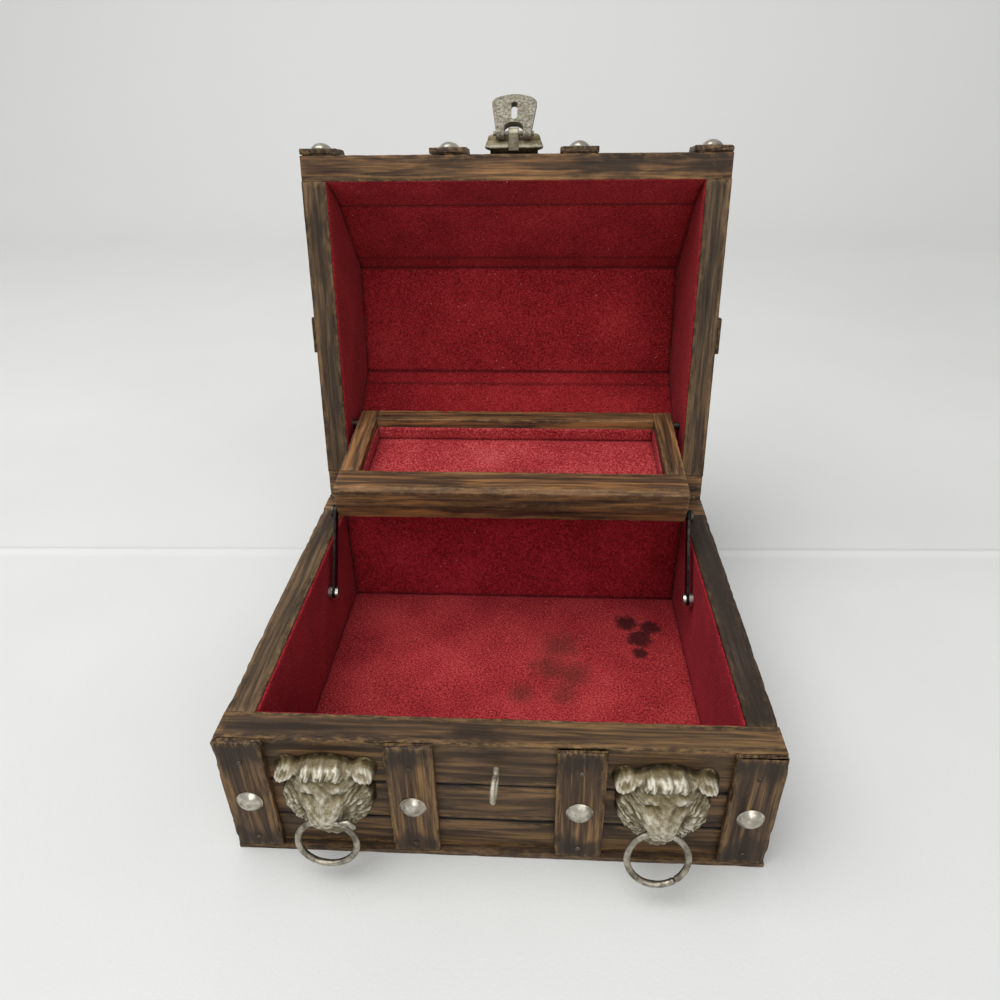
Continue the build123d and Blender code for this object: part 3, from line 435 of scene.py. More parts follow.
def sheet(face: Array, back: Array, seed: int, fuzz: float, undulation: float) -> Mesh:
    """A sheet of felt between a front grid and a back grid, closed round its border.

    The front swells and sinks a little, and its border wanders by the fuzz so that it looks cut by hand.

    Args:
        face: front points, rows by columns by 3, in millimetres.
        back: back points in the same order.
        seed: seed of the noise.
        fuzz: how far the border wanders.
        undulation: how far the front sinks towards the back.

    Returns:
        A closed mesh.
    """
    swell_width, nap_width, nap_depth, cut_width = 14.0, 1.7, 0.05, 3.1
    rows, columns = face.shape[:2]
    inward = back - face
    depth = np.linalg.norm(inward, axis=-1, keepdims=True)
    swell = (ripple(face, swell_width, seed) * 0.5 + 0.5) * undulation
    sink = swell + (ripple(face, nap_width, seed + 9) * 0.5 + 0.5) * nap_depth
    front = face + inward / np.maximum(depth, 1e-6) * sink[..., None]
    row, column = np.meshgrid(np.arange(rows), np.arange(columns), indexing="ij")
    border = (row == 0) | (row == rows - 1) | (column == 0) | (column == columns - 1)
    towards = face.reshape(-1, 3).mean(axis=0) - face
    towards /= np.maximum(np.linalg.norm(towards, axis=-1, keepdims=True), 1e-6)
    wander = (ripple(face, cut_width, seed + 3) * 0.5 + 0.5) * fuzz * border
    front = front + towards * wander[..., None]
    count = rows * columns
    faces = grid_faces(rows, columns, False).tolist()
    faces += [quad[::-1] for quad in grid_faces(rows, columns, False, count).tolist()]
    index = np.arange(count).reshape(rows, columns)
    loop = np.concatenate([index[0, :-1], index[:-1, -1], index[-1, :0:-1], index[:0:-1, 0]])
    after = np.roll(loop, -1)
    faces += np.stack([loop, loop + count, after + count, after], -1).tolist()
    points = np.concatenate([front.reshape(-1, 3), back.reshape(-1, 3)])
    return Mesh(points, faces, points.copy())


def patch(origin: Triple, along: Triple, across: Triple, step: float) -> Array:
    """A flat grid of points: origin + s * along + t * across, with s and t from 0 to 1.

    Args:
        origin: first corner.
        along: side that the rows are counted on.
        across: side that the columns are counted on.
        step: greatest distance between points.

    Returns:
        Points, rows by columns by 3.
    """
    rows = max(int(np.linalg.norm(along) / step), 2) + 1
    columns = max(int(np.linalg.norm(across) / step), 2) + 1
    s, t = np.meshgrid(np.linspace(0, 1, rows), np.linspace(0, 1, columns), indexing="ij")
    return np.asarray(origin, float) + s[..., None] * np.asarray(along) + t[..., None] * np.asarray(across)


def wall_felt(
    low: Triple, high: Triple, thick: float, step: float, seed: int, looks: Pair, axes: Place
) -> Mesh:
    """Four sheets of felt that stand round the inside of a box.

    Args:
        low: least x, y and z of the felt's faces.
        high: greatest x, y and z of them.
        thick: thickness of the felt.
        step: greatest distance between points.
        seed: seed of the first sheet, from which the others count up.
        looks: how far the borders wander and the faces sink.
        axes: axes of the box.

    Returns:
        One mesh with four shells.
    """
    (x0, y0, z0), (x1, y1, z1) = low, high
    sheets = []
    for start, along, normal in (
        ((x0, y0, z0), (x1 - x0, 0, 0), (0, 1, 0)),
        ((x0, y1, z0), (x1 - x0, 0, 0), (0, -1, 0)),
        ((x0, y0, z0), (0, y1 - y0, 0), (1, 0, 0)),
        ((x1, y0, z0), (0, y1 - y0, 0), (-1, 0, 0)),
    ):
        face = patch(start, along, (0, 0, z1 - z0), step)
        back = face - np.array(normal) * thick
        sheets.append(sheet(axes.points(face), axes.points(back), seed + len(sheets), *looks))
    return join_all(sheets)


def turned_piece(profile: Array, place: Place, sides: int) -> Mesh:
    """A lathe-turned piece: a profile of (distance from axis, height) spun round the place's up axis.

    Args:
        profile: rows of (radius, height), whose first and last radius are 0.
        place: axes, with the spin axis up.
        sides: points round the axis.

    Returns:
        A closed mesh, whose poles are single points.
    """
    angle = np.linspace(0, 2 * math.pi, sides, endpoint=False)
    body = profile[1:-1]
    radius, height = body[:, :1], body[:, 1:]
    ring = np.stack([radius * np.cos(angle), radius * np.sin(angle), np.repeat(height, sides, 1)], -1)
    poles = np.array([[0, 0, profile[0, 1]], [0, 0, profile[-1, 1]]])
    local = np.concatenate([ring.reshape(-1, 3), poles])
    return Mesh(place.points(local), poled_tube(len(body), sides, len(local) - 2), local)


def wire(path: Array, radius: Array, sides: int) -> Mesh:
    """A round wire along a path, with closed ends.

    Each ring stands square to the path. Its first axis is the path's own plane normal, found
    from the path, so a flat path never twists.

    Args:
        path: points of the middle line.
        radius: radius at each point.
        sides: points round the wire.

    Returns:
        A closed mesh.
    """
    tangent = np.gradient(path, axis=0)
    tangent /= np.linalg.norm(tangent, axis=1, keepdims=True)
    spread = path - path.mean(axis=0)
    plane = np.linalg.svd(spread, full_matrices=False)[2][2]
    first = plane - tangent * (tangent @ plane)[:, None]
    first /= np.linalg.norm(first, axis=1, keepdims=True)
    second = np.cross(tangent, first)
    angle = np.linspace(0, 2 * math.pi, sides, endpoint=False)
    ring = first[:, None] * np.cos(angle)[None, :, None] + second[:, None] * np.sin(angle)[None, :, None]
    points = (path[:, None] + ring * radius[:, None, None]).reshape(-1, 3)
    return Mesh(points, capped_tube(len(path), sides), points.copy())


def mirrored(corners: list[Pair] | tuple[Pair, ...]) -> list[Pair]:
    """Corners (y, z) mirrored front to back, in the opposite order."""
    return [(-y, z) for y, z in corners][::-1]


def extruded(x: Array, line: Array) -> Array:
    """Grid of points: a line of (y, z) repeated at each place x."""
    return np.concatenate([np.repeat(x[:, None, None], len(line), 1), np.repeat(line[None], len(x), 0)], -1)


def follow(station: Array, reach: Array, corners: Array) -> Array:
    """Points (y, z) at distances along a line whose corners lie at the distances in reach."""
    return np.stack([np.interp(station, reach, corners[:, axis]) for axis in (0, 1)], -1)


# Materials


def plug(tree: Tree, node: bpy.types.Node, inputs: dict) -> None:
    """Sets or links inputs of a node.

    Args:
        tree: the node's tree.
        node: the node.
        inputs: values or output sockets by input name or number.
    """
    for key, value in inputs.items():
        if isinstance(value, Socket):
            tree.links.new(value, node.inputs[key])
        else:
            node.inputs[key].default_value = value


def add_node(tree: Tree, kind: str, inputs: dict | None = None, **settings: object) -> bpy.types.Node:
    """Adds a node, sets its options, and sets or links its inputs.

    Args:
        tree: node tree that it goes into.
        kind: Blender's name of the node type.
        inputs: values or output sockets by input name or number.
        settings: options of the node.

    Returns:
        The new node.
    """
    made = tree.nodes.new(kind)
    for name, value in settings.items():
        setattr(made, name, value)
    plug(tree, made, inputs or {})
    return made


class Graph:
    """A new material's node tree, with the steps that the finishes are written in."""

    def __init__(self, name: str, coordinates: Coordinates) -> None:
        """Makes a material with a Principled shader and a socket with the place in metres.

        Args:
            name: name of the material.
            coordinates: where it reads the place.
        """
        self.material = bpy.data.materials.new(name)
        self.material.use_nodes = True
        self.tree = self.material.node_tree
        self.tree.nodes.clear()
        self.shader = self.add("BsdfPrincipled")
        self.add("OutputMaterial", {"Surface": self.shader.outputs[0]})
        if coordinates is Coordinates.OBJECT:
            self.place = self.add("TexCoord").outputs["Object"]
        else:
            self.place = self.add("Attribute", attribute_name="grain").outputs["Vector"]

    def add(self, kind: str, inputs: dict | None = None, **settings: object) -> bpy.types.Node:
        """Adds a shader node."""
        return add_node(self.tree, f"ShaderNode{kind}", inputs, **settings)

    def noise(self, size: float, stretch: Triple = (1, 1, 1), detail: float = 4.0,
              rough: float = 0.55, distortion: float = 0.0) -> Socket:
        """Noise whose features are about size millimetres, drawn out by stretch along each axis.

        Args:
            size: feature size in millimetres.
            stretch: how much longer the features are along x, y and z.
            detail: octaves.
            rough: weight of the finer octaves.
            distortion: how much the noise bends itself.

        Returns:
            A socket from 0 to 1.
        """
        moved = self.add("Mapping", {"Vector": self.place, "Scale": tuple(1 / amount for amount in stretch)})
        inputs = {"Vector": moved.outputs[0], "Scale": 1000 / size, "Detail": detail}
        inputs |= {"Roughness": rough, "Distortion": distortion}
        return self.add("TexNoise", inputs).outputs["Fac"]

    def ramp(self, value: Socket, *stops: tuple[float, str]) -> Socket:
        """Colours a value from 0 to 1.

        Args:
            value: the value.
            stops: positions with their hex colours.

        Returns:
            A socket with the colour.
        """
        made = self.add("ValToRGB", {"Fac": value})
        elements = made.color_ramp.elements
        while len(elements) < len(stops):
            elements.new(0.5)
        for element, (position, colour) in zip(elements, stops):
            element.position = position
            element.color = linear(colour)
        return made.outputs["Color"]

    def band(self, value: Socket, low: float, high: float, bottom: float = 0.0, top: float = 1.0) -> Socket:
        """Stretches the part of a value between low and high, smoothly.

        Args:
            value: the value.
            low: where the part starts.
            high: where it ends, which may be below low.
            bottom: what low becomes.
            top: what high becomes.

        Returns:
            A socket with the stretched value.
        """
        inputs = {"Value": value, "From Min": low, "From Max": high, "To Min": bottom, "To Max": top}
        return self.add("MapRange", inputs, interpolation_type="SMOOTHSTEP").outputs["Result"]

    def tint(self, share: Socket | float, base: Socket, colour: str) -> Socket:
        """Mixes a share of a hex colour into a base colour."""
        return self.add("Mix", {0: share, 6: base, 7: linear(colour)}, data_type="RGBA").outputs[2]

    def math(self, how: str, first: Socket | float, second: Socket | float) -> Socket:
        """One arithmetic step on two numbers."""
        return self.add("Math", {0: first, 1: second}, operation=how).outputs[0]

    def times(self, first: Socket, second: Socket | float) -> Socket:
        """Product of two numbers."""
        return self.math("MULTIPLY", first, second)

    def blend(self, first: Socket, first_share: float, second: Socket, second_share: float) -> Socket:
        """Sum of two values, each times its share."""
        return self.math("ADD", self.times(first, first_share), self.times(second, second_share))

    def value(self, name: str) -> Socket:
        """A per-point value of the piece."""
        return self.add("Attribute", attribute_name=name).outputs["Fac"]

    def bump(self, height: Socket, depth: float, strength: float) -> Socket:
        """Turns a height from 0 to 1 into a normal, for a relief of depth millimetres."""
        inputs = {"Height": height, "Distance": depth * MM, "Strength": strength}
        return self.add("Bump", inputs).outputs["Normal"]

    def shade(self, inputs: dict[str, object]) -> Material:
        """Sets or links inputs of the shader and gives the finished material."""
        plug(self.tree, self.shader, inputs)
        return self.material


@dataclass(frozen=True)
class Finish:
    """What every finish shares: a name, and where it reads the place on a piece."""

    name: str = "finish"
    coordinates: Coordinates = Coordinates.GRAIN


@dataclass(frozen=True)
class SingedPine(Finish):
    """Softwood stained walnut, scorched in patches and rubbed back.

    Late wood shows as dark lines along the grain, the scorch is a burnt brown, and edges are rubbed to a
    golden brown.
    """

    name: str = "singed_pine"
    dark: str = "#281b12"
    middle: str = "#573f29"
    light: str = "#966d43"
    scorch: str = "#271d15"
    rubbed: str = "#8c6d44"
    # Colour of the painted shade in grooves.
    groove: str = "#0e0a08"
    ring_spacing: float = 1.7
    scorch_level: float = 0.5
    wear_level: float = 0.6
    end_scorch: float = 0.0

    def material(self) -> Material:
        """Builds the wood material.

        Returns:
            The finished material.
        """
        graph = Graph(self.name, self.coordinates)
        long_patch = graph.noise(14.0, (6, 1, 1), 3.0)
        rings = graph.noise(self.ring_spacing, (22, 1, 1.6), 3.0, 0.5, 0.6)
        fibre = graph.noise(0.42, (30, 1, 1), 2.0, 0.6)
        tone = graph.blend(long_patch, 0.35, rings, 0.65)
        wood = graph.ramp(tone, (0.35, self.dark), (0.49, self.middle), (0.63, self.light))
        wood = graph.tint(graph.times(graph.band(fibre, 0.45, 0.72), 0.6), wood, self.dark)
        cloud = graph.noise(22.0, (2.2, 1, 1), 4.0, 0.6)
        ends = graph.band(graph.value("ends"), 0.30, 0.02, 0.0, self.end_scorch)
        burnt = graph.math("ADD", cloud, graph.times(ends, 0.35))
        burnt = graph.band(burnt, 0.66 - 0.3 * self.scorch_level, 0.84 - 0.3 * self.scorch_level)
        wood = graph.tint(graph.times(burnt, 0.85), wood, self.scorch)
        grime = graph.noise(1.8, (3, 1, 1), 5.0, 0.75)
        edge = graph.times(graph.value("wear"), graph.band(grime, 0.42, 0.66))
        wood = graph.tint(graph.times(edge, self.wear_level), wood, self.rubbed)
        dust = graph.times(graph.band(grime, 0.58, 0.74), 0.2)
        wood = graph.tint(dust, wood, self.rubbed)
        # Painted shade in grooves, from the hollow value, darkest at their bottoms.
        wood = graph.tint(graph.times(graph.value("hollow"), 0.9), wood, self.groove)
        relief = graph.blend(rings, 0.6, fibre, 0.4)
        return graph.shade({
            "Base Color": wood,
            "Roughness": graph.band(rings, 0.3, 0.7, 0.62, 0.46),
            "Normal": graph.bump(relief, 0.22, 0.8),
            "Specular IOR Level": 0.25,
        })


@dataclass(frozen=True)
class CrimsonFelt(Finish):
    """Pressed wool felt dyed crimson: a matt nap with short fibres, pale lint and a soft sheen, and painted
    shade along the bends of the lid's felt strips.
    """

    name: str = "crimson_felt"
    coordinates: Coordinates = Coordinates.OBJECT
    deep: str = "#560a12"
    ground: str = "#871620"
    bright: str = "#a62a35"
    lint: str = "#cf9c98"
    # Colour of the painted shade along the bends of the lid's felt strips.
    crease: str = "#2a0408"
    lint_spacing: float = 3.4
    nap_bump: float = 0.3
    brown_blots: tuple[Quad, ...] = ()
    black_blots: tuple[Quad, ...] = ()

    def blots(self, graph: Graph, felt: Socket, colour: str, share: float, grain: float, blur: float,
              places: tuple[Quad, ...]) -> Socket:
        """Stains felt with ragged blots: nearness to a point, broken up by noise and blurred at its edge.

        Args:
            graph: node tree of the material.
            felt: colour so far.
            colour: hex colour of the blots.
            share: how strong they are.
            grain: size of the noise.
            blur: width of the edge.
            places: middle and reach of each blot.

        Returns:
            The stained colour.
        """
        for *at, reach in places:
            middle = tuple(value * MM for value in at)
            gap = graph.add("VectorMath", {0: graph.place, 1: middle}, operation="DISTANCE").outputs["Value"]
            near = graph.math("SUBTRACT", 1.0, graph.math("DIVIDE", gap, reach * MM))
            ragged = graph.math("ADD", near, graph.noise(grain, rough=0.65))
            blot = graph.band(ragged, 0.95 - blur, 0.95 + blur)
            felt = graph.tint(graph.times(blot, share), felt, colour)
        return felt

    def material(self) -> Material:
        """Builds the felt material.

        Returns:
            The finished material.
        """
        graph = Graph(self.name, self.coordinates)
        cloud = graph.noise(26.0, detail=3.0)
        nap = graph.noise(0.8, rough=0.7)
        fibre = graph.noise(0.5, (2.2, 1, 1), 3.0, 0.7, 1.5)
        tone = graph.blend(cloud, 0.2, nap, 0.8)
        felt = graph.ramp(tone, (0.38, self.deep), (0.50, self.ground), (0.62, self.bright))
        # Painted shade: a dark line along each bend of the lid's felt strips.
        felt = graph.tint(graph.times(graph.value("crease"), 0.5), felt, self.crease)
        specks = graph.add("TexVoronoi", {"Vector": graph.place, "Scale": 1000 / self.lint_spacing})
        speck = graph.band(specks.outputs["Distance"], 0.10, 0.05)
        patchy = graph.band(graph.noise(9.0, detail=2.0), 0.45, 0.60)
        felt = graph.tint(graph.times(graph.times(speck, patchy), 0.55), felt, self.lint)
        felt = self.blots(graph, felt, "#3b2618", 0.5, 5.0, 0.45, self.brown_blots)
        felt = self.blots(graph, felt, "#1c0c0d", 0.85, 3.0, 0.2, self.black_blots)
        relief = graph.blend(nap, 0.5, fibre, 0.5)
        return graph.shade({
            "Base Color": felt,
            "Normal": graph.bump(relief, self.nap_bump, 0.9),
            "Roughness": 0.95,
            "Specular IOR Level": 0.15,
            "Sheen Weight": 0.16,
            "Sheen Roughness": 0.5,
            "Sheen Tint": linear("#c0606c"),
        })


@dataclass(frozen=True)
class AntiqueCasting(Finish):
    """Soft-metal casting with a silver wash, browned in its hollows, rubbed bright on its high spots, and
    painted with a highlight on the upper part of each lion's head.
    """

    name: str = "antique_casting"
    metal: str = "#877d63"
    bright: str = "#d8d2c4"
    patina: str = "#594b2e"
    hollow: str = "#262016"
    grit: float = 0.7

    def material(self) -> Material:
        """Builds the casting material.

        Returns:
            The finished material.
        """
        graph = Graph(self.name, self.coordinates)
        cast = graph.noise(self.grit, detail=5.0, rough=0.7)
        mottle = graph.blend(graph.noise(5.0, rough=0.6), 0.42, cast, 0.38)
        # Tone: patina in hollows and rubbing on high spots, plus a painted highlight on the upper part of
        # each lion's head.
        tone = graph.math("ADD", graph.times(graph.value("raised"), 0.62), mottle)
        stops = ((0.34, self.hollow), (0.56, self.patina), (0.74, self.metal), (1.0, self.bright))
        return graph.shade({
            "Base Color": graph.ramp(tone, *stops),
            "Roughness": graph.band(cast, 0.3, 0.7, 0.40, 0.66),
            "Normal": graph.bump(cast, 0.3, 1.0),
            "Metallic": 0.8,
        })


@dataclass(frozen=True)
class PlatedSteel(Finish):
    """Steel with a thin plated or blackened skin, dulled by handling."""

    name: str = "plated_steel"
    coordinates: Coordinates = Coordinates.OBJECT
    metal: str = "#b9b4aa"
    dull: str = "#6e675c"
    roughness: float = 0.32
    smudge: float = 3.0
    grit: float = 0.04

    def material(self) -> Material:
        """Builds the metal material.

        Returns:
            The finished material.
        """
        graph = Graph(self.name, self.coordinates)
        cloud = graph.noise(self.smudge, rough=0.6)
        fine = graph.noise(0.6, detail=3.0, rough=0.6)
        return graph.shade({
            "Base Color": graph.ramp(cloud, (0.35, self.dull), (0.62, self.metal)),
            "Roughness": graph.band(cloud, 0.3, 0.7, self.roughness + 0.15, self.roughness - 0.08),
            "Normal": graph.bump(fine, self.grit, 0.6),
            "Metallic": 1.0,
        })


# Sub-assemblies


@dataclass
class BaseBox:
    """The base's boards, bottom, straps, felt and nails."""

    half_depth: float = 75.25
    bottom: float = 1.8
    rim: float = 52.2
    front_thickness: float = 11.0
    side_thickness: float = 10.2
    grooves: Pair = (33.2, 15.9)
    strap_width: float = 16.0
    strap_thickness: float = 2.7
    dome_height: float = 24.8
    pin_heights: Pair = (6.5, 43.5)

    def front_board(self, finish: Material) -> None:
        """Front board with two shallow planking grooves across its face, with painted shade in the grooves.

        Args:
            finish: its material.
        """
        low, high = self.bottom, self.rim
        front, back = -self.half_depth, -self.half_depth + self.front_thickness
        half, deep = 0.45, 0.7
        corners = [(front, low), (back, low), (back, high), (front, high)]
        for groove in self.grooves:
            inner = [(front + deep, groove + half * 0.4), (front + deep, groove - half * 0.4)]
            corners += [(front, groove + half), *inner, (front, groove - half)]
        mesh = carried(corners, 2 * HALF_WIDTH, LEFT_END, 0.18, 2.6, 11, 0.05, 0.25)
        y, z = mesh.points[:, 1], mesh.points[:, 2]
        # Painted shade in the grooves: the hollow value is highest at their bottoms and darkens the wood
        # there.
        near = np.abs(z[:, None] - np.array(self.grooves)).min(axis=1)
        hollow = np.where((near < 0.9) & (y < front + 1.2), np.clip((y - front + 0.15) / 0.4, 0.35, 1), 0.0)
        mesh.values["hollow"] = hollow
        mesh.values["wear"] = np.where(hollow > 0, 0.0, mesh.values["wear"])
        fit("front_board", mesh, finish, "base", "base_front_board")

    def other_boards(self, finish: Material, sides: list[Material], ply: Material) -> None:
        """Rear board, two side boards and the thin bottom board.

        Args:
            finish: material of the rear board.
            sides: materials of the left and the right side board.
            ply: material of the bottom.
        """
        front, back = self.half_depth - self.front_thickness, self.half_depth
        corners = [(front, self.bottom), (back, self.bottom), (back, self.rim), (front, self.rim)]
        mesh = carried(corners, 2 * HALF_WIDTH, LEFT_END, 0.5, 3.0, 12)
        fit("rear_board", mesh, finish, "base", "base_rear_board")
        for side, name, wood in ((-1, "left", sides[0]), (1, "right", sides[1])):
            outer, inner = side * HALF_WIDTH, side * (HALF_WIDTH - self.side_thickness)
            low, high = min(outer, inner), max(outer, inner)
            corners = [(-high, self.bottom), (-low, self.bottom), (-low, self.rim), (-high, self.rim)]
            place = Place((0, -self.half_depth + self.front_thickness, 0), (0, 1, 0), (-1, 0, 0))
            length = 2 * self.half_depth - 2 * self.front_thickness
            mesh = carried(corners, length, place, 0.5, 2.6, 14 + side, 0.06, 0.5)
            fit(f"{name}_board", mesh, wood, "base", f"base_{name}_board")
        depth = self.half_depth + self.strap_thickness
        corners = [(-depth, 0.0), (depth, 0.0), (depth, self.bottom), (-depth, self.bottom)]
        mesh = carried(corners, 2 * HALF_WIDTH, LEFT_END, 0.15, 3.0, 17, 0.02, 0.2)
        fit("bottom_board", mesh, ply, "base", "base_bottom")

    def straps(self, finish: Material) -> None:
        """Upright straps on the front and back.

        Args:
            finish: their material.
        """
        for number, x in enumerate(STRAP_PLACES, 1):
            mesh = self.strap(x, -1, 20 + number)
            fit(f"front_strap_{number}", mesh, finish, "base", f"base_front_strap_{number}")
        rear = join_all([self.strap(x, 1, 30 + index) for index, x in enumerate(STRAP_PLACES)])
        fit("rear_straps", rear, finish, "base", "base_rear_straps")

    def strap(self, x: float, side: int, seed: int) -> Mesh:
        """One upright strap.

        Args:
            x: its middle.
            side: -1 on the front, 1 on the back.
            seed: seed of its noise.

        Returns:
            Its mesh.
        """
        inner = side * self.half_depth
        outer = side * (self.half_depth + self.strap_thickness)
        low, high = min(inner, outer), max(inner, outer)
        half = self.strap_width / 2
        corners = [(x - half, low), (x + half, low), (x + half, high), (x - half, high)]
        place = Place((0, 0, self.bottom), (0, 0, 1), (1, 0, 0), (0, 1, 0))
        return carried(corners, self.rim - self.bottom, place, 0.45, 1.6, seed, 0.07, 0.6)

    def linings(self, floor: Material, walls: Material) -> None:
        """Felt on the floor and the four inner walls.

        Args:
            floor: material of the floor felt.
            walls: material of the wall felt.
        """
        x, y = HALF_WIDTH - self.side_thickness, self.half_depth - self.front_thickness
        thick, low, high = 0.75, 2.6, 51.6
        face = patch((-x, -y, low), (2 * x, 0, 0), (0, 2 * y, 0), 2.0)
        mesh = sheet(face, face - np.array([0, 0, thick]), 41, 0.0, 0.2)
        fit("floor_felt", mesh, floor, "base", "base_floor_lining")
        low_corner, high_corner = (0.8 - x, 0.8 - y, low), (x - 0.8, y - 0.8, high)
        mesh = wall_felt(low_corner, high_corner, thick, 2.2, 42, (0.35, 0.25), Place((0, 0, 0)))
        fit("wall_felt", mesh, walls, "base", "base_wall_linings")

    def nails(self, nickel: Material, steel: Material) -> None:
        """Nails through the straps.

        Args:
            nickel: material of the domes.
            steel: material of the pins.
        """
        domes, pins = [], []
        for index, x in enumerate(STRAP_PLACES):
            for side in (-1, 1):
                axes = ((1, 0, 0), (0, 0, 1), (0, side, 0))
                place = Place((x, side * STRAP_FACE, self.dome_height), *axes)
                domes.append(nail_dome(place, 60 + index * 2 + side))
                for z in self.pin_heights:
                    pins.append(pin_head(Place((x, side * STRAP_FACE, z), *axes), 80 + index))
        fit("base_domes", join_all(domes), nickel, "base", "base_dome_nails")
        fit("base_pins", join_all(pins), steel, "base", "base_pin_nails")


def nail_dome(place: Place, seed: int) -> Mesh:
    """A domed nail head: a low spherical cap with a thin rolled edge, standing on its seat.

    Args:
        place: seat of the head, with up pointing out.
        seed: seed of its dents.

    Returns:
        A closed mesh.
    """
    radius, height, dent_depth = 4.5, 2.45, 0.025
    sphere = (radius**2 + height**2) / (2 * height)
    spread = np.linspace(0, math.asin(radius / sphere) * 0.97, 12)
    cap = np.stack([sphere * np.sin(spread), sphere * np.cos(spread) - (sphere - height)], -1)
    edge = np.array([[radius - 0.03, 0.12], [radius - 0.08, 0.0], [radius * 0.5, 0.0], [0.0, 0.0]])
    mesh = turned_piece(np.concatenate([cap, edge]), place, 48)
    dent = ripple(mesh.grain, 3.5, seed) * dent_depth * np.clip(mesh.grain[:, 2] / height, 0, 1)
    mesh.points = mesh.points - np.array(place.up) * np.abs(dent)[:, None]
    mesh.grain = mesh.grain + np.random.default_rng(seed).uniform(-90, 90, 3)
    return mesh


def pin_head(place: Place, seed: int) -> Mesh:
    """A small flat nail head with a rounded edge.

    Args:
        place: seat of the head, with up pointing out.
        seed: seed of its place in the finish's noise.

    Returns:
        A closed mesh.
    """
    profile = np.array([[0, 0.3], [0.5, 0.3], [0.8, 0.24], [0.92, 0.1], [0.92, 0.0], [0.4, 0.0], [0, 0.0]])
    mesh = turned_piece(profile, place, 14)
    mesh.grain = mesh.grain + np.random.default_rng(seed).uniform(-90, 90, 3)
    return mesh


def turned_place(place: Place, turn: Turn) -> Place:
    """Carries a place round by a turn.

    Args:
        place: the place.
        turn: the turn.

    Returns:
        The turned place, with its axes turned too.
    """
    origin = turn.points(np.array([place.origin], float))[0]
    still = Turn(0, 0, turn.angle)
    axes = still.points(np.array([place.along, place.across, place.up], float))
    return Place(tuple(origin), tuple(axes[0]), tuple(axes[1]), tuple(axes[2]))


